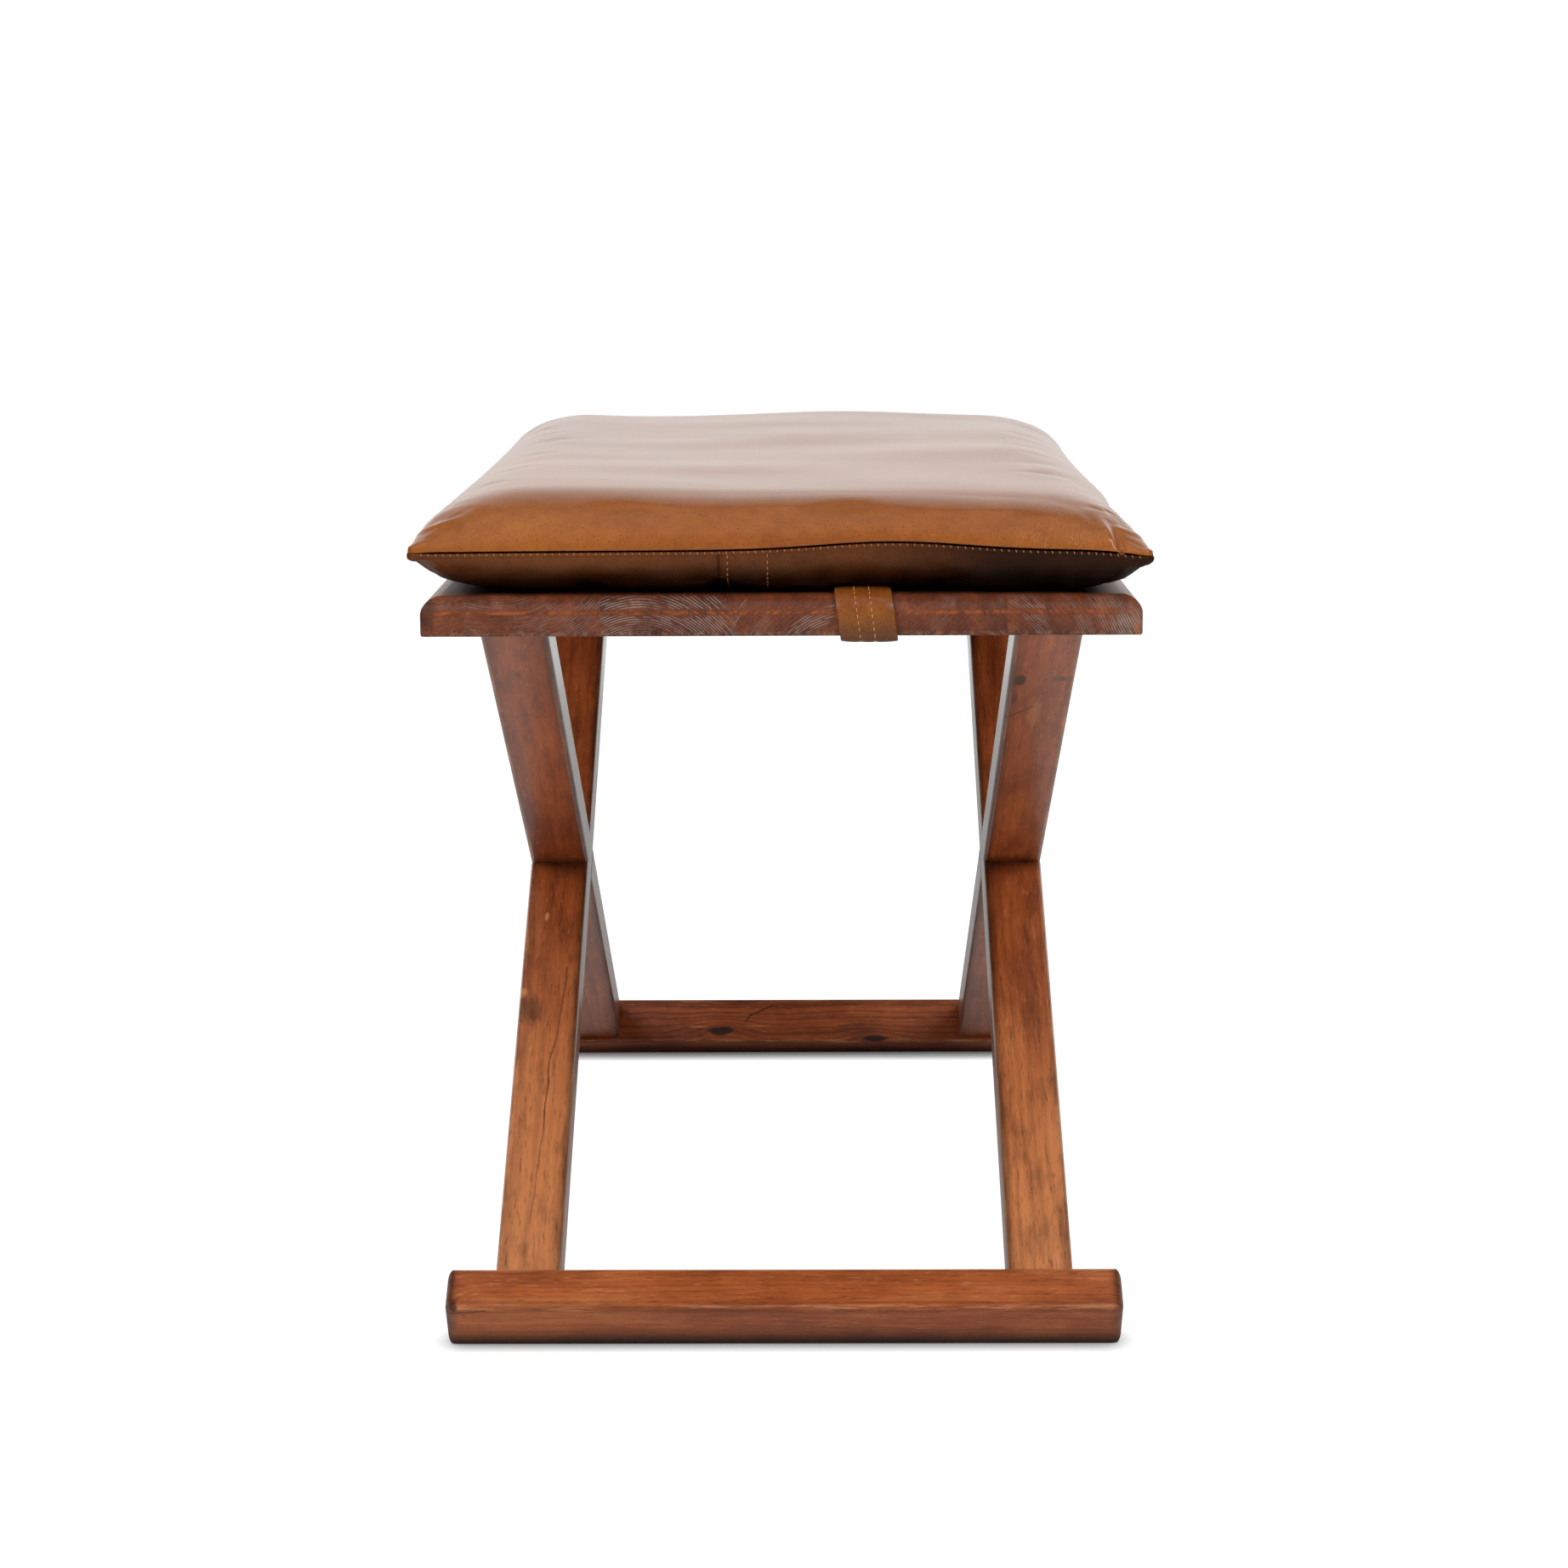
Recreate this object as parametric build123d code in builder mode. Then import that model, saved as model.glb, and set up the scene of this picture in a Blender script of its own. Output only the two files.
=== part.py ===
"""Camel saddle stool: a glued board on two X-shaped leg frames, with a leather cushion strapped on.

The origin is on the floor in the middle of the stool. X runs across the stool, Y along it, from the
front edge to the back edge, and Z up. Lengths are in millimetres and angles in degrees.
"""

import os
from math import ceil, cos, radians, sin, tan

from build123d import *

os.makedirs("parts", exist_ok=True)

# Seat board, glued up from staves that run lengthwise
seat_length = 700.0
seat_width = 400.0
seat_thickness = 22.0
seat_underside_height = 418.0
seat_top_round = 11.0
seat_under_round = 2.0
seat_corner_round = 3.0
stave_width = 75.0

# Legs, halved into each other in pairs
leg_slope = 32.0
leg_thickness = 38.0
leg_depth = 26.0
leg_edge_round = 3.0
leg_spread = 337.0
leg_setback = 14.0

# Foot rails, turned to the slope of the legs that stand on them
rail_length = 392.0
rail_width = 35.0
rail_height = 30.0
rail_edge_round = 3.0
rail_end_round = 6.0
rail_planed = 2.0

# Loose tenons, glued into their mortises
tenon_width = 24.0
tenon_thickness = 8.0
tenon_chamfer = 1.0
fit_gap = 0.05
tenon_end_gap = 1.0
foot_tenon_in_leg = 25.0
foot_tenon_in_rail = 15.0
seat_tenon_in_leg = 16.0
seat_tenon_in_board = 14.0

# Cushion, measured at its seam and crown
cushion_end_overhang = 7.0
cushion_side_overhang = 5.5
cushion_seam_rise = 25.0
cushion_crown_rise = 30.0
cushion_crown_roll = 66.0
cushion_under_roll = 41.0
cushion_side_draw = 7.0
cushion_ear_round = 5.0
cushion_rest_gap = 0.3
leather_thickness = 1.5
leather_gap = 0.2
foam_gap = 0.3

# Envelope closure in the cushion's underside
closure_offset = -33.0
closure_underlap = 60.0
closure_joggle = 6.0

# Straps over the board's ends
strap_offset = 47.0
strap_width = 32.0
strap_thickness = 3.0
strap_ease = 0.3
strap_top_lap = 22.0
strap_under_lap = 44.0
strap_lean = 7.5

# Screws and washers that hold the straps under the board
screw_spacing = 16.0
screw_setback = 30.0
screw_shank_diameter = 4.0
screw_shank_in_board = 12.0
screw_head_diameter = 8.0
screw_head_height = 2.6
screw_slot_width = 1.0
screw_slot_depth = 1.1
screw_end_gap = 1.0
washer_diameter = 12.0
washer_thickness = 1.0
washer_chamfer = 0.3
screw_play = 0.2

# One overrun serves every cut
overrun = 1.0

# From seam to crown, shares of the way in, of the rise climbed, of the side draw kept and of the
# roll rounded into the ears
crown_inset_shares = (0.0, 0.07, 0.24, 0.5, 0.8, 1.14)
crown_rise_shares = (0.0, 0.36, 0.65, 0.85, 0.96, 1.0)
crown_draw_shares = (1.0, 0.9, 0.75, 0.6, 0.5, 0.4)
crown_ear_shares = (0.0, 0.06, 0.14, 0.22, 0.3, 0.3)

# The same from seam to base
under_inset_shares = (0.0, 0.14, 0.36, 0.64, 1.0)
under_rise_shares = (0.0, 0.34, 0.65, 0.88, 1.0)
under_draw_shares = (1.0, 0.9, 0.8, 0.7, 0.6)
under_ear_shares = (0.0, 0.1, 0.3, 0.5, 0.7)

# Places worked out from the sizes above
slope_cos = cos(radians(leg_slope))
slope_sin = sin(radians(leg_slope))
slope_tan = tan(radians(leg_slope))
seat_top_height = seat_underside_height + seat_thickness
leg_centre_offset = (leg_spread - leg_thickness) / 2
leg_top_reach = seat_length / 2 - leg_setback
crossing_height = seat_underside_height - (leg_top_reach - leg_depth / 2 / slope_sin) * slope_tan
rail_far_reach = (crossing_height + rail_planed - rail_width / 2 * slope_cos) / slope_sin
leg_foot_reach = rail_far_reach - rail_height
leg_head_reach = (seat_underside_height - crossing_height) / slope_sin + leg_depth / slope_tan
leg_stock_length = leg_foot_reach + leg_head_reach
seat_tenon_reach = leg_top_reach - (leg_depth / slope_sin + seat_tenon_in_leg / slope_tan) / 2
cushion_length = seat_length + 2 * cushion_end_overhang
cushion_width = seat_width + 2 * cushion_side_overhang
cushion_base_height = seat_top_height + cushion_rest_gap
cushion_seam_height = cushion_base_height + cushion_seam_rise
screw_hole_radius = screw_shank_diameter / 2 + fit_gap


def save(piece, name):
    """Label a finished piece and write it under its own name."""
    piece.label = name
    export_step(piece, f"parts/{name}.step")


def foot_plane(side, end):
    """Plane at the foot of the leg that stands at one end, facing up the leg.

    side is -1 for the left frame and 1 for the right; end is -1 for the front and 1 for the back.
    """
    reach = end * leg_foot_reach * slope_cos
    height = crossing_height - leg_foot_reach * slope_sin
    return Plane(
        origin=(side * leg_centre_offset, reach, height),
        x_dir=(1, 0, 0),
        z_dir=(0, -end * slope_cos, slope_sin),
    )


def rail_plane(end):
    """Plane on top of the foot rail at one end, where the legs stand, facing up the legs."""
    middle = foot_plane(0, end)
    return Plane(origin=middle.origin, x_dir=(1, 0, 0), z_dir=middle.z_dir)


def seat_joint_plane(side, end):
    """Plane on the board's underside at the tenon of the leg whose top is at one end, facing down."""
    return Plane(
        origin=(side * leg_centre_offset, end * seat_tenon_reach, seat_underside_height),
        x_dir=(1, 0, 0),
        z_dir=(0, 0, -1),
    )


def strap_plane(end):
    """Plane through the middle of the strap at one end: x runs in under the board and y up."""
    return Plane(
        origin=(-end * strap_offset, end * seat_length / 2, seat_underside_height),
        x_dir=(0, -end, 0),
        z_dir=(-end, 0, 0),
    )


def screw_plane(end):
    """Plane on the board's underside between the two screws of a strap, facing down."""
    reach = end * (seat_length / 2 - screw_setback)
    return Plane(
        origin=(-end * strap_offset, reach, seat_underside_height), x_dir=(1, 0, 0), z_dir=(0, 0, -1)
    )


def discs(plane, spacing, radius):
    """Two equal discs side by side on a plane."""
    with BuildSketch(plane) as pair:
        with GridLocations(spacing, 0, 2, 1):
            Circle(radius)
    return pair.sketch


def tenon_section(plane, gap):
    """Cross-section of a loose tenon on the plane of its joint, or of its mortise with a gap round it."""
    with BuildSketch(plane) as section:
        Rectangle(tenon_width + 2 * gap, tenon_thickness + 2 * gap)
    return section.sketch


def board_mortises():
    """The mortises that the legs' tenons need in the board."""
    with BuildPart() as mortises:
        for side in (-1, 1):
            for end in (-1, 1):
                mortise = tenon_section(seat_joint_plane(side, end), fit_gap)
                extrude(mortise, amount=-(seat_tenon_in_board + tenon_end_gap))
    return mortises.part


def screw_holes():
    """The holes that the straps' screws need in the board."""
    with BuildPart() as holes:
        for end in (-1, 1):
            depth = screw_shank_in_board + screw_end_gap
            extrude(discs(screw_plane(end), screw_spacing, screw_hole_radius), amount=-depth)
    return holes.part


def board_profile(plane, width):
    """Cross-section of the board, with its rounded top and eased lower edges."""
    with BuildSketch(plane) as profile:
        Rectangle(width, seat_thickness)
        fillet(profile.vertices().group_by(Axis.Y)[-1], radius=seat_top_round)
        fillet(profile.vertices().group_by(Axis.Y)[0], radius=seat_under_round)
    return profile.sketch


def build_stave(left, right, holes):
    """One stave of the board, between two glue lines."""
    middle = Vector(0, 0, seat_underside_height + seat_thickness / 2)
    with BuildPart() as stave:
        with BuildSketch(Plane.XY.offset(seat_underside_height)):
            RectangleRounded(seat_width, seat_length, seat_corner_round)
        extrude(amount=seat_thickness)
        across = Plane(origin=middle, x_dir=(1, 0, 0), z_dir=(0, -1, 0))
        extrude(board_profile(across, seat_width), amount=seat_length, both=True, mode=Mode.INTERSECT)
        along = Plane(origin=middle, x_dir=(0, 1, 0), z_dir=(1, 0, 0))
        extrude(board_profile(along, seat_length), amount=seat_width, both=True, mode=Mode.INTERSECT)
        with Locations(((left + right) / 2, 0, middle.Z)):
            Box(right - left, seat_length, seat_thickness, mode=Mode.INTERSECT)
        for hole in holes:
            add(hole, mode=Mode.SUBTRACT)
    return stave.part


def build_leg(side, end):
    """The leg of one frame that stands at one end and rises to the other.

    The legs that rise to the front keep their outer half where they cross, the others their inner.
    """
    foot = foot_plane(side, end)
    mate = foot_plane(side, -end)
    notch_facing = side * -end
    crossing = Plane(
        origin=(side * leg_centre_offset, 0, crossing_height),
        x_dir=mate.z_dir,
        z_dir=(notch_facing, 0, 0),
    )
    with BuildPart() as leg:
        with BuildSketch(foot):
            RectangleRounded(leg_thickness, leg_depth, leg_edge_round)
        extrude(amount=leg_stock_length)
        split(bisect_by=Plane.XY.offset(seat_underside_height), keep=Keep.BOTTOM)
        with BuildSketch(crossing):
            Rectangle(leg_stock_length, leg_depth)
        extrude(amount=leg_thickness, mode=Mode.SUBTRACT)
        foot_depth = foot_tenon_in_leg + tenon_end_gap
        extrude(tenon_section(foot, fit_gap), amount=foot_depth, mode=Mode.SUBTRACT)
        head = seat_joint_plane(side, -end)
        head_depth = seat_tenon_in_leg + tenon_end_gap
        extrude(tenon_section(head, fit_gap), amount=head_depth, mode=Mode.SUBTRACT)
    return leg.part


def build_rail(end):
    """The foot rail at one end, planed flat where it meets the floor."""
    top = rail_plane(end)
    middle = top.offset(-rail_height / 2)
    with BuildPart() as rail:
        with BuildSketch(middle):
            RectangleRounded(rail_length, rail_width, rail_end_round)
        extrude(amount=rail_height / 2, both=True)
        with BuildSketch(Plane(origin=middle.origin, x_dir=middle.x_dir, z_dir=middle.y_dir)):
            RectangleRounded(rail_length, rail_height, rail_end_round)
        extrude(amount=rail_width, both=True, mode=Mode.INTERSECT)
        with BuildSketch(Plane(origin=middle.origin, x_dir=middle.y_dir, z_dir=middle.x_dir)):
            RectangleRounded(rail_width, rail_height, rail_edge_round)
        extrude(amount=rail_length, both=True, mode=Mode.INTERSECT)
        split(bisect_by=Plane.XY, keep=Keep.TOP)
        for side in (-1, 1):
            mortise = tenon_section(foot_plane(side, end), fit_gap)
            extrude(mortise, amount=-(foot_tenon_in_rail + tenon_end_gap), mode=Mode.SUBTRACT)
    return rail.part


def build_strap(end):
    """The strap at one end: a short lap on the board, over its edge, and back under it to the screws."""
    outside = strap_ease + strap_thickness
    lean = strap_width / 2 / cos(radians(strap_lean))
    top = seat_thickness + strap_thickness
    shift = tan(radians(strap_lean))
    with BuildPart() as strap:
        with BuildSketch(strap_plane(end)):
            with BuildLine():
                FilletPolyline(
                    (strap_top_lap, seat_thickness),
                    (-strap_ease, seat_thickness),
                    (-strap_ease, 0),
                    (strap_under_lap, 0),
                    radius=[seat_top_round, seat_under_round],
                )
                FilletPolyline(
                    (strap_top_lap, top),
                    (-outside, top),
                    (-outside, -strap_thickness),
                    (strap_under_lap, -strap_thickness),
                    radius=[seat_top_round + outside, seat_under_round + strap_thickness],
                )
                Line((strap_top_lap, seat_thickness), (strap_top_lap, top))
                Line((strap_under_lap, 0), (strap_under_lap, -strap_thickness))
            make_face()
        extrude(amount=strap_width, both=True)
        face = Plane(
            origin=(-end * strap_offset, end * seat_length / 2, seat_underside_height + seat_thickness / 2),
            x_dir=(-end, 0, 0),
            z_dir=(0, end, 0),
        )
        with BuildSketch(face):
            Polygon(
                (-lean - top * shift, top),
                (lean - top * shift, top),
                (lean + top * shift, -top),
                (-lean + top * shift, -top),
                align=None,
            )
        extrude(amount=seat_length, both=True, mode=Mode.INTERSECT)
        holes = discs(screw_plane(end), screw_spacing, screw_shank_diameter / 2 + screw_play)
        extrude(holes, amount=strap_thickness + overrun, both=True, mode=Mode.SUBTRACT)
    return strap.part


def cushion_section(height, inset, draw, ear):
    """Level outline of the cushion: four sides drawn in between rounded ears."""
    half_width = cushion_width / 2 - inset
    half_length = cushion_length / 2 - inset
    corners = [
        (-half_width, -half_length),
        (half_width, -half_length),
        (half_width, half_length),
        (-half_width, half_length),
    ]
    middles = [
        (0, draw - half_length),
        (half_width - draw, 0),
        (0, half_length - draw),
        (draw - half_width, 0),
    ]
    with BuildSketch(Plane.XY.offset(height)) as section:
        with BuildLine():
            for number, middle in enumerate(middles):
                ThreePointArc(corners[number], middle, corners[(number + 1) % len(corners)])
        make_face()
        fillet(section.vertices(), radius=ear)
    return section.sketch


def cushion_sections(roll, rise, skin, insets, rises, draws, ears):
    """Level outlines from the seam to the crown or the base, taken in by the thickness of a skin."""
    inner_rise = rise - skin if rise > 0 else rise + skin
    return [
        cushion_section(
            cushion_seam_height + inner_rise * climb,
            skin + roll * inset,
            cushion_side_draw * draw,
            cushion_ear_round + roll * ear,
        )
        for inset, climb, draw, ear in zip(insets, rises, draws, ears)
    ]


def crown_sections(skin):
    """Outlines of the cushion's upper half, from the seam to the crown."""
    return cushion_sections(
        cushion_crown_roll,
        cushion_crown_rise,
        skin,
        crown_inset_shares,
        crown_rise_shares,
        crown_draw_shares,
        crown_ear_shares,
    )


def under_sections(skin):
    """Outlines of the cushion's lower half, from the seam to the base."""
    return cushion_sections(
        cushion_under_roll,
        -cushion_seam_rise,
        skin,
        under_inset_shares,
        under_rise_shares,
        under_draw_shares,
        under_ear_shares,
    )


def under_shell(outer_skin, inner_skin, left, right):
    """A layer of the cushion's lower half, between two lengthwise cuts."""
    with BuildPart() as shell:
        loft(under_sections(outer_skin), ruled=True)
        loft(under_sections(inner_skin), ruled=True, mode=Mode.SUBTRACT)
        with Locations(((left + right) / 2, 0, cushion_seam_height)):
            Box(right - left, 2 * cushion_length, 2 * cushion_seam_rise, mode=Mode.INTERSECT)
    return shell.part


# Seat board
board_holes = (board_mortises(), screw_holes())
stave_count = ceil(seat_width / stave_width)
for stave_number in range(1, stave_count + 1):
    stave_right = seat_width / 2 - (stave_count - stave_number) * stave_width
    stave_left = max(stave_right - stave_width, -seat_width / 2)
    save(build_stave(stave_left, stave_right, board_holes), f"seat_stave_{stave_number}")

# Legs and foot rails
for side_name, side_sign in (("left", -1), ("right", 1)):
    save(build_leg(side_sign, 1), f"{side_name}_leg_rising_to_front")
    save(build_leg(side_sign, -1), f"{side_name}_leg_rising_to_back")
for end_name, end_sign in (("front", -1), ("back", 1)):
    save(build_rail(end_sign), f"{end_name}_foot_rail")

# Loose tenons
with BuildPart() as foot_tenons:
    for side_sign in (-1, 1):
        for end_sign in (-1, 1):
            low = foot_plane(side_sign, end_sign).offset(-foot_tenon_in_rail)
            with BuildSketch(low):
                Rectangle(tenon_width, tenon_thickness)
            extrude(amount=foot_tenon_in_rail + foot_tenon_in_leg)
    chamfer(foot_tenons.edges().filter_by(Axis.X), length=tenon_chamfer)
save(foot_tenons.part, "foot_tenons")

with BuildPart() as seat_tenons:
    for side_sign in (-1, 1):
        for end_sign in (-1, 1):
            high = seat_joint_plane(side_sign, end_sign).offset(-seat_tenon_in_board)
            with BuildSketch(high):
                Rectangle(tenon_width, tenon_thickness)
            extrude(amount=seat_tenon_in_board + seat_tenon_in_leg)
    chamfer(seat_tenons.edges().filter_by(Axis.X), length=tenon_chamfer)
save(seat_tenons.part, "seat_tenons")

# Straps with their screws and washers
for end_name, end_sign in (("front", -1), ("back", 1)):
    save(build_strap(end_sign), f"{end_name}_strap")

with BuildPart() as strap_washers:
    for end_sign in (-1, 1):
        seat = screw_plane(end_sign).offset(strap_thickness)
        extrude(discs(seat, screw_spacing, washer_diameter / 2), amount=washer_thickness)
    rims = strap_washers.edges().filter_by(GeomType.CIRCLE).group_by(Axis.Z)[0]
    chamfer(rims, length=washer_chamfer)
    for end_sign in (-1, 1):
        bores = discs(screw_plane(end_sign), screw_spacing, screw_shank_diameter / 2 + screw_play)
        depth = strap_thickness + washer_thickness + overrun
        extrude(bores, amount=depth, mode=Mode.SUBTRACT)
save(strap_washers.part, "strap_washers")

with BuildPart() as screw:
    head_face = seat_underside_height - strap_thickness - washer_thickness
    shank_end = seat_underside_height + screw_shank_in_board
    with BuildSketch(Plane.XZ):
        with BuildLine():
            crown = TangentArc(
                (0, head_face - screw_head_height), (screw_head_diameter / 2, head_face), tangent=(1, 0)
            )
            Polyline(
                crown @ 1,
                (screw_shank_diameter / 2, head_face),
                (screw_shank_diameter / 2, shank_end),
                (0, shank_end),
                crown @ 0,
            )
        make_face()
    revolve(axis=Axis.Z)
    with Locations((0, 0, head_face - screw_head_height)):
        Box(screw_head_diameter, screw_slot_width, 2 * screw_slot_depth, mode=Mode.SUBTRACT)

with BuildPart() as strap_screws:
    for end_sign in (-1, 1):
        reach = end_sign * (seat_length / 2 - screw_setback)
        with Locations((-end_sign * strap_offset, reach)):
            with GridLocations(screw_spacing, 0, 2, 1):
                add(screw.part)
save(strap_screws.part, "strap_screws")

# Cushion leather
with BuildPart() as cushion_top_panel:
    loft(crown_sections(0), ruled=True)
    loft(crown_sections(leather_thickness), ruled=True, mode=Mode.SUBTRACT)
save(cushion_top_panel.part, "cushion_top_panel")

flap_skin = leather_thickness + leather_gap
joggle_end = closure_offset - closure_joggle
with BuildPart() as cushion_left_under_panel:
    add(under_shell(0, leather_thickness, -cushion_width, closure_offset))
    add(under_shell(0, flap_skin + leather_thickness, joggle_end, closure_offset))
    add(under_shell(flap_skin, flap_skin + leather_thickness, joggle_end, closure_offset + closure_underlap))
save(cushion_left_under_panel.part, "cushion_left_under_panel")

with BuildPart() as cushion_right_under_panel:
    add(under_shell(0, leather_thickness, closure_offset, cushion_width))
save(cushion_right_under_panel.part, "cushion_right_under_panel")

# Cushion core, which the leather closes round
with BuildPart() as cushion_core:
    loft(crown_sections(leather_thickness + foam_gap), ruled=True)
    loft(under_sections(flap_skin + leather_thickness + foam_gap), ruled=True)
save(cushion_core.part, "cushion_core")
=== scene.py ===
"""Camel saddle stool: the frame's stained wood finished, and the cushion, straps and stitching made.

Lengths are in metres and angles in degrees. X runs across the stool, Y from its front edge to its
back edge, and Z up from the floor.
"""

import logging
from dataclasses import dataclass, field
from enum import Enum
from math import asin, ceil, cos, exp, pi, radians, sin, sqrt, tan
from typing import Any, Callable, Sequence

import bmesh
import bpy
from mathutils import Matrix, Vector, noise


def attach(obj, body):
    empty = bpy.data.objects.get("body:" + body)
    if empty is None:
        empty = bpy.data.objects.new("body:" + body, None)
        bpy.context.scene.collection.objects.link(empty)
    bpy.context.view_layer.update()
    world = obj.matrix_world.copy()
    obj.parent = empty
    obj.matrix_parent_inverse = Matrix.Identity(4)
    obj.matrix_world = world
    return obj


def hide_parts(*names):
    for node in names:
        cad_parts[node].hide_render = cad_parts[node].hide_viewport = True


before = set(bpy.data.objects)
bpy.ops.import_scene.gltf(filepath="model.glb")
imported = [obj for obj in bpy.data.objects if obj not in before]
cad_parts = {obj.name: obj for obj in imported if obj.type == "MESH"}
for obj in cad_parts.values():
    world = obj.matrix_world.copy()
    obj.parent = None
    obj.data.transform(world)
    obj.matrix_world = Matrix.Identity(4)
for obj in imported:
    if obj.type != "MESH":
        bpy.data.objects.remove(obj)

LOG = logging.getLogger("stool")
MM = 0.001
PHOTO_PIXELS = 1844

# Sizes that the frame and its dressing share
SEAT_LENGTH = 0.700
SEAT_WIDTH = 0.400
SEAT_UNDERSIDE = 0.418
SEAT_TOP = 0.440
STAVE_WIDTH = 0.075
BOARD_ARRISES = (0.011, 0.002)
LEG_SLOPE = radians(32.0)
LEG_OFFSET = 0.1495
LEG_THICKNESS = 0.038
LEG_DEPTH = 0.026
LEG_CREASE = 0.0208
CROSSING_HEIGHT = 0.223373
RAIL_CENTRE = (0.32421, 0.02079)
RAIL_LENGTH = 0.392
RAIL_WIDTH = 0.035
RAIL_HEIGHT = 0.030

# Longer than a leg, so that no wear is drawn at its slanting ends
LEG_SPAN = 1.0

# Where wear, darker tips, end grain and painted shade on wood begin and are fullest, as distances from what
# they lie along
RUBBED_EDGE = (3.4 * MM, 1.0 * MM)
GRIMY_EDGE = (8.0 * MM, 2.5 * MM)
SHADED_SIDE = (7.0 * MM, 0.0)
DARK_TIP = (9.0 * MM, 1.0 * MM)
SHADED_CREASE = (16.0 * MM, -2.0 * MM)
SHADED_FOOT = (16.0 * MM, 0.0)
END_GRAIN = (11.0 * MM, 4.0 * MM)

# Sizes of the patterns in wood, and how ragged the edge of a mark is
MARK_DEPTH = 0.010
MARK_EDGE = 0.45
MARK_RAGGED = 1.5
SPLIT_DEPTH_SHARE = 0.15
END_ARCS = 0.00135
GRAIN_DEPTH = 0.00013

# Two places along a piece that it never reaches, so that no painted light pales its stain
NO_PAINTED_LIGHT = (1.0, 2.0)

BLACKENED = (0.016, 0.007, 0.004)
SILVERED = (0.42, 0.34, 0.30)
FRONT_AND_BACK = (("front", -1.0), ("back", 1.0))

Triple = tuple[float, float, float]


def math_node(operation: str, swapped: bool = False) -> Callable[..., "Signal"]:
    """Method of a signal that adds a Math node.

    Args:
        operation: What the node works out.
        swapped: Whether the other value comes first.

    Returns:
        The method, which takes the other value if the node has two.
    """

    def method(signal: "Signal", *others: Any) -> "Signal":
        """Work on this value and the other."""
        values = (*others, signal) if swapped else (signal, *others)
        return signal.bench.signal("ShaderNodeMath", {"operation": operation}, dict(enumerate(values)))

    return method


class Signal:
    """A shader socket that takes part in Python expressions."""

    __add__ = __radd__ = math_node("ADD")
    __sub__ = math_node("SUBTRACT")
    __rsub__ = math_node("SUBTRACT", swapped=True)
    __mul__ = __rmul__ = math_node("MULTIPLY")
    __truediv__ = math_node("DIVIDE")
    __pow__ = math_node("POWER")
    __abs__ = math_node("ABSOLUTE")
    sine = math_node("SINE")
    root = math_node("SQRT")
    larger = math_node("MAXIMUM")
    smaller = math_node("MINIMUM")

    def __init__(self, bench: "Bench", socket: bpy.types.NodeSocket) -> None:
        """Keep the socket and the bench it stands on."""
        self.bench = bench
        self.socket = socket

    def step(self, start: float, stop: float) -> "Signal":
        """Ease from 0 to 1 as this value goes from start to stop.

        Args:
            start: Value that gives 0.
            stop: Value that gives 1, on either side of start.

        Returns:
            The eased value.
        """
        low, high = min(start, stop), max(start, stop)
        ends = (0.0, 1.0) if start < stop else (1.0, 0.0)
        return self.bench.signal(
            "ShaderNodeMapRange",
            {"interpolation_type": "SMOOTHSTEP"},
            {"Value": self, "From Min": low, "From Max": high, "To Min": ends[0], "To Max": ends[1]},
        )


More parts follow.
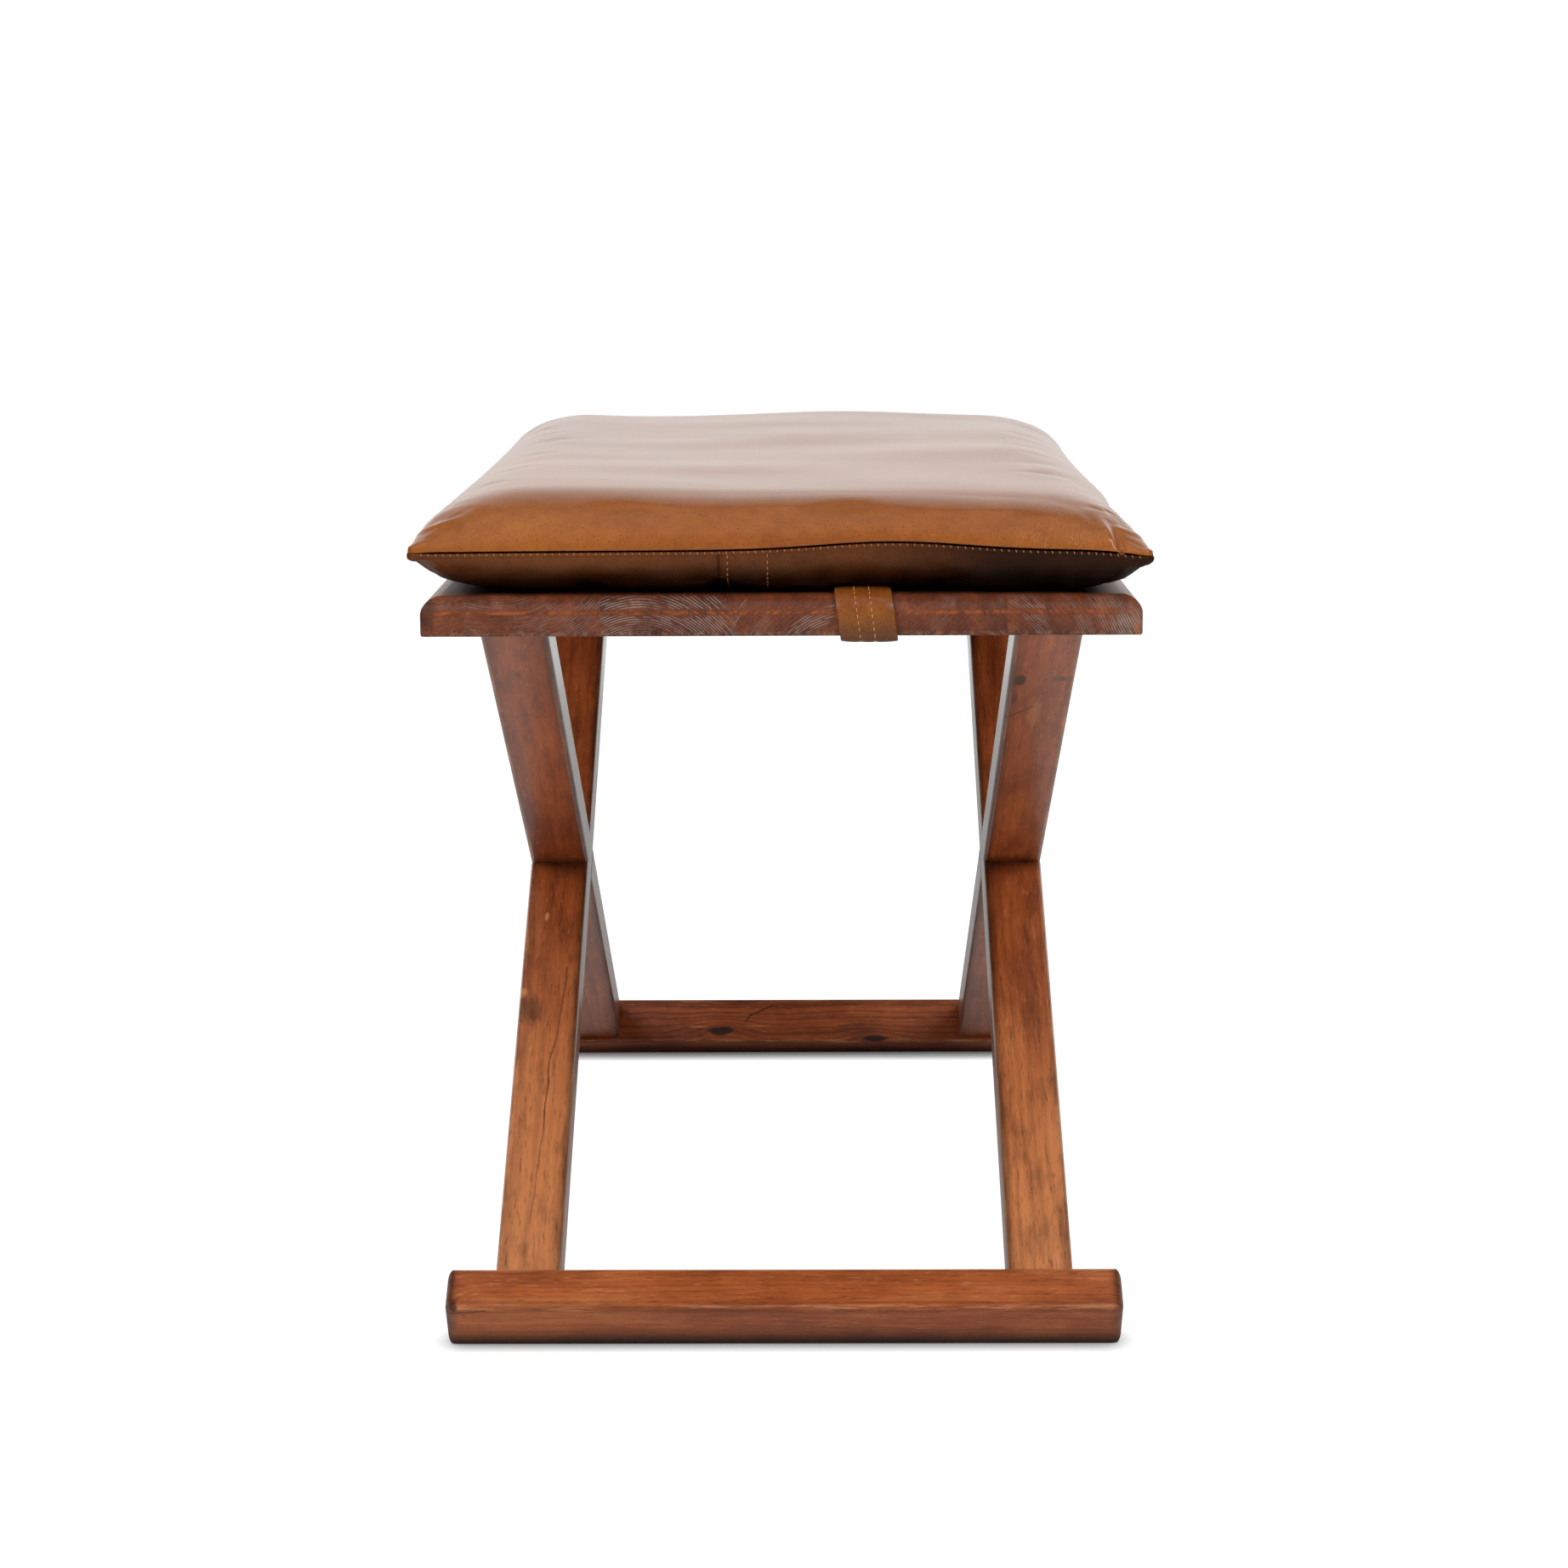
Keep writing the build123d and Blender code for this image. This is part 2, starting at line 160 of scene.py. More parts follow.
class Bench:
    """Node tree of one finish, with the few calls that its patterns are written in."""

    def __init__(self, name: str) -> None:
        """Start a material with its Principled shader."""
        self.material = bpy.data.materials.new(name)
        self.material.use_nodes = True
        self.tree = self.material.node_tree
        self.shader = self.tree.nodes["Principled BSDF"]

    def feed(self, socket: bpy.types.NodeSocket, value: Any) -> None:
        """Link a signal to a socket, or set a plain value on it."""
        if isinstance(value, Signal):
            self.tree.links.new(value.socket, socket)
        else:
            socket.default_value = value

    def node(self, kind: str, settings: dict[str, Any], inputs: dict[Any, Any]) -> bpy.types.Node:
        """Add any node.

        Args:
            kind: Node type.
            settings: Properties, set first. A list of ramp stops goes under the key "stops".
            inputs: Values or signals by socket name or number.

        Returns:
            The node.
        """
        made = self.tree.nodes.new(kind)
        for key, value in settings.items():
            if key == "stops":
                self._set_stops(made.color_ramp, value)
            else:
                setattr(made, key, value)
        for key, value in inputs.items():
            self.feed(made.inputs[key], value)
        return made

    @staticmethod
    def _set_stops(ramp: bpy.types.ColorRamp, stops: Sequence[tuple[float, Triple]]) -> None:
        """Place a ramp's colours."""
        while len(ramp.elements) < len(stops):
            ramp.elements.new(1.0)
        for element, (place, colour) in zip(ramp.elements, stops):
            element.position = place
            element.color = (*colour, 1.0)

    def signal(self, kind: str, settings: dict[str, Any], inputs: dict[Any, Any], output: Any = 0) -> Signal:
        """Add any node and give one of its outputs as a signal."""
        return Signal(self, self.node(kind, settings, inputs).outputs[output])

    def point(self) -> Signal:
        """Place on the object, in metres."""
        return self.signal("ShaderNodeTexCoord", {}, {}, "Object")

    def placed(self, origin: Triple, turn: Triple) -> Signal:
        """Place on the object seen from a frame of its own."""
        inputs = {"Vector": self.point(), "Location": origin, "Rotation": turn}
        return self.signal("ShaderNodeMapping", {"vector_type": "TEXTURE"}, inputs)

    def split(self, vector: Signal) -> tuple[Signal, Signal, Signal]:
        """Three parts of a vector."""
        node = self.node("ShaderNodeSeparateXYZ", {}, {0: vector})
        return tuple(Signal(self, output) for output in node.outputs)

    def join(self, x: Any, y: Any, z: Any) -> Signal:
        """Vector from three parts."""
        return self.signal("ShaderNodeCombineXYZ", {}, {0: x, 1: y, 2: z})

    def stretched(self, vector: Signal, scale: Triple, shift: Triple = (0.0, 0.0, 0.0)) -> Signal:
        """Vector scaled along its axes and shifted."""
        settings = {"operation": "MULTIPLY_ADD"}
        return self.signal("ShaderNodeVectorMath", settings, {0: vector, 1: scale, 2: shift})

    def moved(self, vector: Signal, push: Signal, amount: float) -> Signal:
        """Vector pushed about by another, centred on a half."""
        centred = self.signal("ShaderNodeVectorMath", {"operation": "SUBTRACT"}, {0: push, 1: (0.5,) * 3})
        settings = {"operation": "MULTIPLY_ADD"}
        return self.signal("ShaderNodeVectorMath", settings, {0: centred, 1: (amount,) * 3, 2: vector})

    def noise(self, vector: Signal, scale: float, detail: float = 2.0, rough: float = 0.5) -> Signal:
        """Soft noise around a half."""
        inputs = {"Vector": vector, "Scale": scale, "Detail": detail, "Roughness": rough}
        return self.signal("ShaderNodeTexNoise", {}, inputs)

    def drawn(self, vector: Signal, scales: Triple, detail: float = 2.0, rough: float = 0.5) -> Signal:
        """Soft noise with a scale of its own along each axis."""
        return self.noise(self.stretched(vector, scales), 1.0, detail, rough)

    def drift(self, vector: Signal, scale: float) -> Signal:
        """Noise with three parts, for pushing a pattern about."""
        inputs = {"Vector": vector, "Scale": scale, "Detail": 2.0}
        return self.signal("ShaderNodeTexNoise", {}, inputs, "Color")

    def cells(self, vector: Signal, scale: float, feature: str = "F1") -> Signal:
        """Distance pattern of scattered cells."""
        return self.signal("ShaderNodeTexVoronoi", {"feature": feature}, {"Vector": vector, "Scale": scale})

    def ramp(self, factor: Signal, stops: Sequence[tuple[float, Triple]]) -> Signal:
        """Colour picked along a ramp."""
        return self.signal("ShaderNodeValToRGB", {"stops": stops}, {0: factor})

    def mix(self, factor: Any, first: Any, second: Any, blend: str = "MIX") -> Signal:
        """Blend of two colours.

        Args:
            factor: Share of the second colour.
            first: Colour or signal under it.
            second: Colour or signal over it.
            blend: Blending mode.

        Returns:
            The blended colour.
        """
        settings = {"data_type": "RGBA", "blend_type": blend, "clamp_factor": True}
        first, second = (c if isinstance(c, Signal) else (*c, 1.0) for c in (first, second))
        return self.signal("ShaderNodeMix", settings, {0: factor, 6: first, 7: second}, 2)

    def shaded(self, colour: Signal, factor: Signal) -> Signal:
        """Colour made darker or lighter by a grey factor."""
        return self.mix(1.0, colour, self.join(factor, factor, factor), "MULTIPLY")

    def finish(
        self, colour: Any, rough: Any, height: Signal | None, depth: float, **constants: float
    ) -> None:
        """Feed the shader.

        Args:
            colour: Base colour.
            rough: Roughness.
            height: Surface height pattern, or None.
            depth: How far the height pattern stands, in metres.
            constants: Values set on the shader's own sockets, with _ for a space.
        """
        self.feed(self.shader.inputs["Base Color"], colour)
        self.feed(self.shader.inputs["Roughness"], rough)
        if height is not None:
            inputs = {"Height": height, "Distance": depth, "Strength": 1.0}
            bump = self.signal("ShaderNodeBump", {}, inputs)
            self.feed(self.shader.inputs["Normal"], bump)
        for name, value in constants.items():
            self.shader.inputs[name.replace("_", " ")].default_value = value


class Kind(Enum):
    """Marks that wood carries."""

    KNOT = "knot"
    RUB = "rub"
    SCUFF = "scuff"


@dataclass(frozen=True)
class Mark:
    """A knot in a piece of wood, or a place where its stain is rubbed away.

    place is in the piece's own frame, along, across and through it. length and width are half
    sizes, strength is how far it shows, and soft is how wide its edge is.
    """

    place: Triple
    length: float
    width: float
    kind: Kind = Kind.KNOT
    strength: float = 1.0
    soft: float = 0.75

    def shade(self, x: Signal, y: Signal, z: Signal, ragged: Signal) -> Signal:
        """Strength of the mark over the wood."""
        reach = self.reach(x, y, z) + (ragged - 0.5) * MARK_RAGGED
        return reach.step(MARK_EDGE + self.soft, MARK_EDGE) * self.strength

    def reach(self, x: Signal, y: Signal, z: Signal) -> Signal:
        """Distance from the mark's middle, as a share of its half sizes."""
        sizes = (self.length, self.width, MARK_DEPTH)
        parts = [(part - middle) / size for part, middle, size in zip((x, y, z), self.place, sizes)]
        return (parts[0] * parts[0] + parts[1] * parts[1] + parts[2] * parts[2]).root()


@dataclass(frozen=True)
class Split:
    """A fine dark split or grain line between two places on one face of a piece."""

    start: tuple[float, float]
    end: tuple[float, float]
    face: float
    width: float = 0.0006
    wander: float = 0.004
    strength: float = 0.9

    def shade(self, x: Signal, y: Signal, z: Signal, ragged: Signal) -> Signal:
        """Strength of the line over the wood."""
        run = (self.end[0] - self.start[0], self.end[1] - self.start[1])
        x, y = x - self.start[0], y - self.start[1] + (ragged - 0.5) * self.wander
        share = ((x * run[0] + y * run[1]) / (run[0] ** 2 + run[1] ** 2)).larger(0.0).smaller(1.0)
        off_x, off_y = x - share * run[0], y - share * run[1]
        off_z = (z - self.face) * SPLIT_DEPTH_SHARE
        reach = (off_x * off_x + off_y * off_y + off_z * off_z).root()
        return reach.step(self.width * 1.6, self.width * 0.3) * self.strength


@dataclass(frozen=True)
class Stain:
    """Colours of stained wood, from its dark streaks to its rubbed edges."""

    dark: Triple
    middle: Triple
    light: Triple
    wear_and_shade: Triple
    rubbed: Triple
    rough: float = 0.34


@dataclass(frozen=True)
class StainedWood:
    """Satin stained wood, cut from a log whose rings run through the piece.

    origin, along and across place the piece's own frame. half_width, half_depth and half_length
    are its half sizes, which place the wear on its edges. pith is where the log's middle lies in
    its cross-section, rings is the spacing of its growth rings, and silver is how far its end
    grain shows pale streaks. Between the two places of fade the stain pales, which is painted
    light: lighter where the piece is lit near the floor than where the seat shades it higher up.
    lift lightens all of it. figure is the depth of its dark figure, and contrast that of its rings,
    which sway round its knots. crease is how far from its middle another piece meets it, where
    painted shade darkens it, inner is the side on which painted shade darkens it towards its edge,
    and gloss is how much varnish it has. tips is how dark its ends are, and low_shade how dark the
    painted shade next to the floor makes it.
    """

    name: str
    stain: Stain
    origin: Triple
    along: Triple
    across: Triple
    half_width: float
    half_depth: float
    half_length: float
    pith: tuple[float, float]
    rings: float = 0.0034
    seed: float = 0.0
    edge_wear: float = 0.45
    silver: float = 0.0
    fade: tuple[float, float] = NO_PAINTED_LIGHT
    lift: float = 0.0
    figure: float = 0.15
    contrast: float = 0.16
    crease: float = 0.0
    inner: float = 0.0
    gloss: float = 0.22
    tips: float = 0.0
    low_shade: float = 0.93
    marks: tuple[Mark | Split, ...] = ()

    def turn(self) -> Triple:
        """Rotation of the piece's own frame."""
        along, across = Vector(self.along), Vector(self.across)
        return tuple(Matrix((along, across, along.cross(across))).transposed().to_euler())

    def material(self) -> bpy.types.Material:
        """Build the material.

        Returns:
            The material, whose patterns follow the piece's grain.
        """
        bench = Bench(self.name)
        place = bench.placed(self.origin, self.turn())
        x, y, z = bench.split(place)
        seeded = bench.stretched(place, (1.0, 1.0, 1.0), (self.seed, 0.37 * self.seed, 0.71 * self.seed))
        ragged = bench.drawn(seeded, (60.0, 190.0, 190.0), 4.0, 0.6)
        knots = self._shade(x, y, z, ragged, Kind.KNOT)
        grain, radius = self._grain(bench, (x, y, z), seeded, knots)

        fibres = bench.drawn(grain, (16.0, 380.0, 520.0), 5.0, 0.60)
        flecks = bench.drawn(grain, (110.0, 800.0, 800.0))
        streaks = bench.drawn(grain, (5.0, 70.0, 110.0), 4.0, 0.6)
        blotches = bench.drawn(seeded, (11.0, 26.0, 26.0), 4.0, 0.62)
        rings = ((radius * (2.0 * pi / self.rings)).sine() * 0.5 + 0.5) ** 3.0

        # Painted light: the stain pales and takes the rubbed colour towards the lit lower end
        painted_light = x.step(*self.fade)
        tone = blotches * 0.60 + streaks * 0.40 + painted_light * 0.14 + self.lift
        stops = ((0.31, self.stain.dark), (0.52, self.stain.middle), (0.73, self.stain.light))
        colour = bench.ramp(tone, stops)
        colour = bench.mix(painted_light * 0.54, colour, self.stain.rubbed)
        figure = bench.drawn(seeded, (30.0, 85.0, 85.0), 4.0, 0.62).step(0.48, 0.70)
        colour = bench.shaded(colour, (0.72 + fibres * 0.60) * (1.0 - figure * self.figure))
        colour = bench.shaded(colour, 1.0 - rings * self.contrast - flecks.step(0.58, 0.70) * 0.34)
        colour = bench.mix(flecks.step(0.38, 0.28) * 0.30, colour, self.stain.wear_and_shade)
        colour = self._end_streaks(bench, colour, (x, y, z), grain, ragged)

        edge = self._edge(x, y, z)
        scuffs = bench.drawn(seeded, (24.0, 300.0, 300.0), 4.0, 0.65)
        rubbed = edge.step(*RUBBED_EDGE) * scuffs.step(0.44, 0.66) * self.edge_wear
        darkening = edge.step(*GRIMY_EDGE) * (1.0 - scuffs.step(0.40, 0.62)) * 0.30
        colour = bench.mix(rubbed, bench.shaded(colour, 1.0 - darkening), self.stain.wear_and_shade)
        colour = bench.mix(self._shade(x, y, z, ragged, Kind.RUB), colour, self.stain.rubbed)
        # Painted shade next to the floor, joined with the darker tips and the painted shade from _shadows;
        # the varnish is duller there too
        low_shade = bench.split(bench.point())[2].step(*SHADED_FOOT)
        dark = (low_shade * self.low_shade).larger(self._shadows(x, y, blotches))
        colour = bench.shaded(colour, 1.0 - dark)
        colour = bench.mix(knots.smaller(1.0), colour, BLACKENED)

        rough = self.stain.rough + fibres * 0.10 + rubbed * 0.14 + blotches * 0.10 - 0.08
        height = fibres * 0.45 - flecks.step(0.58, 0.70) * 0.55 - rings * 0.25 - knots * 0.6
        bench.feed(bench.shader.inputs["Coat Weight"], self.gloss - low_shade * self.gloss)
        rough = rough + low_shade * 0.3
        bench.finish(colour, rough, height, GRAIN_DEPTH, Coat_Roughness=0.28, Specular_IOR_Level=0.4)
        return bench.material

    def _grain(
        self, bench: Bench, spot: tuple[Signal, Signal, Signal], seeded: Signal, knots: Signal
    ) -> tuple[Signal, Signal]:
        """Place along, round and out from the log's middle, with its wander.

        Args:
            bench: Bench of the material.
            spot: Place along the piece, across it and through it.
            seeded: Place, shifted so that no two pieces match.
            knots: Darkness of the knots, which push the rings aside.

        Returns:
            The three as a vector, and the last of them by itself.
        """
        sway = bench.drawn(seeded, (4.0, 22.0, 22.0)) - 0.5
        y, z = spot[1] - self.pith[0] + sway * 0.012, spot[2] - self.pith[1] + sway * 0.006
        radius = (y * y + z * z).root() + knots * 0.004
        for mark in self.marks:
            if isinstance(mark, Mark) and mark.soft < 0.5:
                near = mark.reach(*spot).step(4.2, 0.4)
                radius = radius + near * near * mark.width * 1.1
        radius = radius + (bench.drawn(seeded, (9.0, 60.0, 60.0)) - 0.5) * 0.004
        side = y / abs(z) * abs(self.pith[1])
        return bench.join(spot[0] + self.seed, side, radius), radius

    def _shadows(self, x: Signal, y: Signal, blotches: Signal) -> Signal:
        """Darkness of the tips, and painted shade on the inner side and where another piece meets it."""
        shadows = x * 0.0
        if self.tips:
            tip = (self.half_length - abs(x)).step(*DARK_TIP)
            shadows = shadows.larger(tip * blotches.step(0.15, 0.60) * self.tips)
        # Painted shade towards the inner edge
        if self.inner:
            shadows = shadows.larger((self.half_width - y * self.inner).step(*SHADED_SIDE) * 0.55)
        # Painted shade where another piece meets it
        if self.crease:
            near = (abs(x) - self.crease).step(*SHADED_CREASE)
            shadows = shadows.larger(near * blotches.step(0.15, 0.60) * 0.55)
        return shadows

    def _end_streaks(
        self, bench: Bench, colour: Signal, spot: tuple[Signal, Signal, Signal], grain: Signal, ragged: Signal
    ) -> Signal:
        """Pale broken arcs on the end grain, and the rubbed line under its rounded top edge."""
        if not self.silver:
            return colour
        x, y, z = spot
        ends = (self.half_length - abs(x)).step(*END_GRAIN)
        off_y, off_z = y - self.pith[0], z - self.pith[1]
        sway = bench.drawn(grain, (4.0, 14.0, 14.0), 1.0, 0.5) - 0.5
        ring = (off_y * off_y + off_z * off_z).root() + sway * 0.0035
        arcs = ((ring * (2.0 * pi / END_ARCS)).sine() * 0.5 + 0.5) ** 2.2
        cut = bench.join(x * 30.0 + self.seed, y * 150.0, ring * 700.0)
        dashes = bench.noise(cut, 1.0, 1.0, 0.5).step(0.34, 0.52)
        patches = bench.noise(bench.join(x * 10.0 + self.seed, y * 22.0, ring * 60.0), 1.0, 3.0, 0.6)
        patches = patches.step(0.44, 0.58)
        scuffs = self._shade(*spot, ragged, Kind.SCUFF)
        clear = abs(z - 2.4 * MM).step(1.0 * MM, 2.6 * MM)
        share = arcs * dashes * (patches * clear * self.silver + scuffs) + scuffs * 0.15
        colour = bench.mix(ends * share, colour, SILVERED)
        band = abs(z - 2.2 * MM).step(1.7 * MM, 0.2 * MM)
        band = band * (self.half_length - abs(x)).step(2.0 * MM, 0.0)
        broken = bench.drawn(grain, (40.0, 60.0, 330.0), 5.0, 0.75).step(0.44, 0.62)
        return bench.mix(band * broken * 0.70, colour, self.stain.rubbed)

    def _edge(self, x: Signal, y: Signal, z: Signal) -> Signal:
        """Distance from the nearest long or end edge of the piece."""
        sizes = (self.half_width, self.half_depth, self.half_length)
        side, face, end = (size - abs(part) for size, part in zip(sizes, (y, z, x)))
        return side.larger(face).smaller(side.larger(end)).smaller(face.larger(end))

    def _shade(self, x: Signal, y: Signal, z: Signal, ragged: Signal, kind: Kind) -> Signal:
        """Strength of all the marks of one kind, 0 where there is none."""
        shade = ragged * 0.0
        for mark in self.marks:
            mark_kind = mark.kind if isinstance(mark, Mark) else Kind.KNOT
            if mark_kind is kind:
                shade = shade.larger(mark.shade(x, y, z, ragged))
        return shade


@dataclass(frozen=True)
class Hide:
    """Soft cognac leather with a fine grain and a thin clear finish.

    grain is the size of its pebbles and depth how far they stand out, and gloss is how much of
    the clear finish it has. gathers is the middle of a place where stretch wrinkles show, with a
    painted highlight on them. Between the two heights of darkening the leather darkens downwards,
    by low_shade, and between the two places of far it darkens and dulls towards its right: both
    are painted shade.
    """

    name: str
    deep: Triple = (0.41, 0.104, 0.012)
    base: Triple = (0.50, 0.141, 0.017)
    pale: Triple = (0.58, 0.178, 0.024)
    rough: float = 0.45
    gloss: float = 1.0
    grain: float = 0.0010
    seed: float = 0.0
    clear_rough: float = 0.30
    gathers: Triple | None = None
    darkening: tuple[float, float] | None = None
    low_shade: float = 0.86
    far: tuple[float, float] | None = None
    depth: float = 0.00008

    def material(self) -> bpy.types.Material:
        """Build the material.

        Returns:
            The material, whose patterns are solid ones.
        """
        bench = Bench(self.name)
        place = bench.stretched(bench.point(), (1.0, 1.0, 1.0), (self.seed, self.seed, 0.0))
        warped = bench.moved(place, bench.drift(place, 90.0), 0.0022)
        pebbles = bench.cells(warped, 1.0 / self.grain, "DISTANCE_TO_EDGE").step(0.0, 0.28)
        fine = bench.noise(place, 1500.0, 3.0, 0.6)
        clouds = bench.noise(bench.stretched(place, (1.0, 0.6, 1.0)), 11.0, 4.0, 0.55)
        mottle = bench.noise(place, 80.0, 4.0, 0.6)
        specks = bench.noise(place, 900.0, 2.0, 0.5).step(0.57, 0.69)
        creases = abs(bench.drawn(warped, (30.0, 46.0, 60.0), 3.0, 0.5) - 0.5)
        creases = creases.step(0.014, 0.0) * bench.noise(place, 16.0).step(0.50, 0.68)

        tone = clouds * 0.5 + mottle * 0.5
        colour = bench.ramp(tone, ((0.34, self.deep), (0.50, self.base), (0.68, self.pale)))
        colour = bench.shaded(colour, 0.88 + pebbles * 0.14 + (fine - 0.5) * 0.10)
        colour = bench.shaded(colour, 1.0 - creases * 0.14 - specks * 0.34)
        x, _, z = bench.split(bench.point())
        gloss = self.gloss
        # Painted shade: darker downwards between the two heights
        if self.darkening:
            colour = bench.shaded(colour, 1.0 - z.step(*self.darkening) * self.low_shade)
        # Painted shade: darker and duller towards the right
        if self.far:
            wear_and_shade = x.step(*self.far)
            colour = bench.shaded(colour, 1.0 - wear_and_shade * 0.80)
            gloss = (1.0 - wear_and_shade) * self.gloss
        bench.feed(bench.shader.inputs["Coat Weight"], gloss)
        rough = self.rough + (mottle - 0.5) * 0.16 + (1.0 - pebbles) * 0.10
        height = pebbles * 0.6 + fine * 0.25 - creases * 0.9
        if self.gathers:
            wrinkles = self._wrinkles(bench, place)
            height = height + wrinkles * 3.6
            # Painted highlight on the wrinkles
            colour = bench.mix(wrinkles * 0.42, colour, (0.85, 0.34, 0.10))
        sheen = {"Coat_Roughness": self.clear_rough, "Specular_IOR_Level": 0.15}
        bench.finish(colour, rough, height, self.depth, **sheen)
        return bench.material

    def _wrinkles(self, bench: Bench, place: Signal) -> Signal:
        """Fine wrinkles that fan out where the leather is gathered."""
        x, y, z = (part - middle for part, middle in zip(bench.split(place), self.gathers))
        near = ((x * x + y * y * 2.0 + z * z * 4.0).root()).step(0.044, 0.014)
        pushed = bench.moved(place, bench.drift(place, 60.0), 0.008)
        inputs = {0: pushed, "Rotation": (0.0, 0.35, 0.0)}
        turned = bench.signal("ShaderNodeMapping", {"vector_type": "TEXTURE"}, inputs)
        lines = abs(bench.drawn(turned, (420.0, 110.0, 110.0)) - 0.5)
        return lines.step(0.055, 0.0) * near * bench.noise(place, 70.0).step(0.36, 0.62)


@dataclass(frozen=True)
class ThreadTone:
    """Waxed thread, with the twist of its strands."""

    name: str
    colour: Triple

    def material(self) -> bpy.types.Material:
        """Build the material."""
        bench = Bench(self.name)
        place = bench.point()
        twist = bench.noise(place, 2600.0, 2.0, 0.5)
        colour = bench.shaded(bench.mix(0.0, self.colour, self.colour), 0.7 + twist * 0.6)
        bench.finish(colour, 0.6 + twist * 0.1, twist, 0.00005)
        return bench.material


@dataclass(frozen=True)
class Brass:
    """Aged brass with fine turning marks."""

    name: str = "aged_brass"

    def material(self) -> bpy.types.Material:
        """Build the material."""
        bench = Bench(self.name)
        place = bench.point()
        spots = bench.noise(place, 420.0, 4.0, 0.6)
        marks = bench.drawn(place, (900.0, 2500.0, 900.0))
        colour = bench.ramp(spots, ((0.35, (0.20, 0.13, 0.05)), (0.62, (0.62, 0.43, 0.17))))
        rough = 0.30 + spots * 0.20 + marks * 0.06
        bench.finish(colour, rough, marks, 0.00003, Metallic=1.0)
        return bench.material


@dataclass(frozen=True)
class Foam:
    """Open-celled cushion foam."""

    name: str = "cream_foam"

    def material(self) -> bpy.types.Material:
        """Build the material."""
        bench = Bench(self.name)
        place = bench.point()
        cells = bench.cells(place, 900.0)
        tone = bench.noise(place, 30.0, 3.0, 0.5)
        colour = bench.ramp(tone, ((0.3, (0.62, 0.53, 0.34)), (0.7, (0.78, 0.70, 0.50))))
        bench.finish(bench.shaded(colour, 0.75 + cells * 0.4), 0.9, cells, 0.0004)
        return bench.material


def meshed(name: str, bm: bmesh.types.BMesh) -> bpy.types.Mesh:
    """Mesh data of a finished mesh, which is freed."""
    mesh = bpy.data.meshes.new(name)
    bm.to_mesh(mesh)
    bm.free()
    return mesh


def linked(name: str, data: bpy.types.ID) -> bpy.types.Object:
    """Object of a mesh, a light or a camera, in the scene."""
    made = bpy.data.objects.new(name, data)
    bpy.context.collection.objects.link(made)
    return made


def dress(name: str, material: bpy.types.Material) -> None:
    """Give a CAD node its finish."""
    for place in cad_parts[name].material_slots:
        place.link = "OBJECT"
        place.material = material


def piece(
    name: str, bm: bmesh.types.BMesh, material: bpy.types.Material, body: str
) -> bpy.types.Object:
    """Make an object of a finished mesh, and let it ride on a body.

    Args:
        name: Name of the piece.
        bm: Its mesh, in place, which is freed.
        material: Its finish.
        body: CAD body that carries it.

    Returns:
        The object.
    """
    mesh = meshed(name, bm)
    mesh.shade_smooth()
    mesh.materials.append(material)
    made = linked(name, mesh)
    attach(made, body)
    LOG.info("%s: %d faces on %s", name, len(mesh.polygons), body)
    return made


def bell(distance: float, reach: float) -> float:
    """Soft bump, 1 at no distance and about a third at its reach."""
    return exp(-((distance / reach) ** 2))


def eased(share: float) -> float:
    """Share that starts and stops softly."""
    return share * share * (3.0 - 2.0 * share)


class Half(Enum):
    """Halves of the cushion, above and below its seam."""

    TOP = 1
    UNDER = -1

    def grid(self, bm: bmesh.types.BMesh, columns: int, rows: int) -> list[bmesh.types.BMVert]:
        """Add a flat grid that faces out of this half.

        Args:
            bm: Mesh that takes it.
            columns: Cells across.
            rows: Cells along.

        Returns:
            Its points.
        """
        verts = bmesh.ops.create_grid(bm, x_segments=columns, y_segments=rows, size=1.0)["verts"]
        if self is Half.UNDER:
            bmesh.ops.reverse_faces(bm, faces=list({face for vert in verts for face in vert.link_faces}))
        return verts


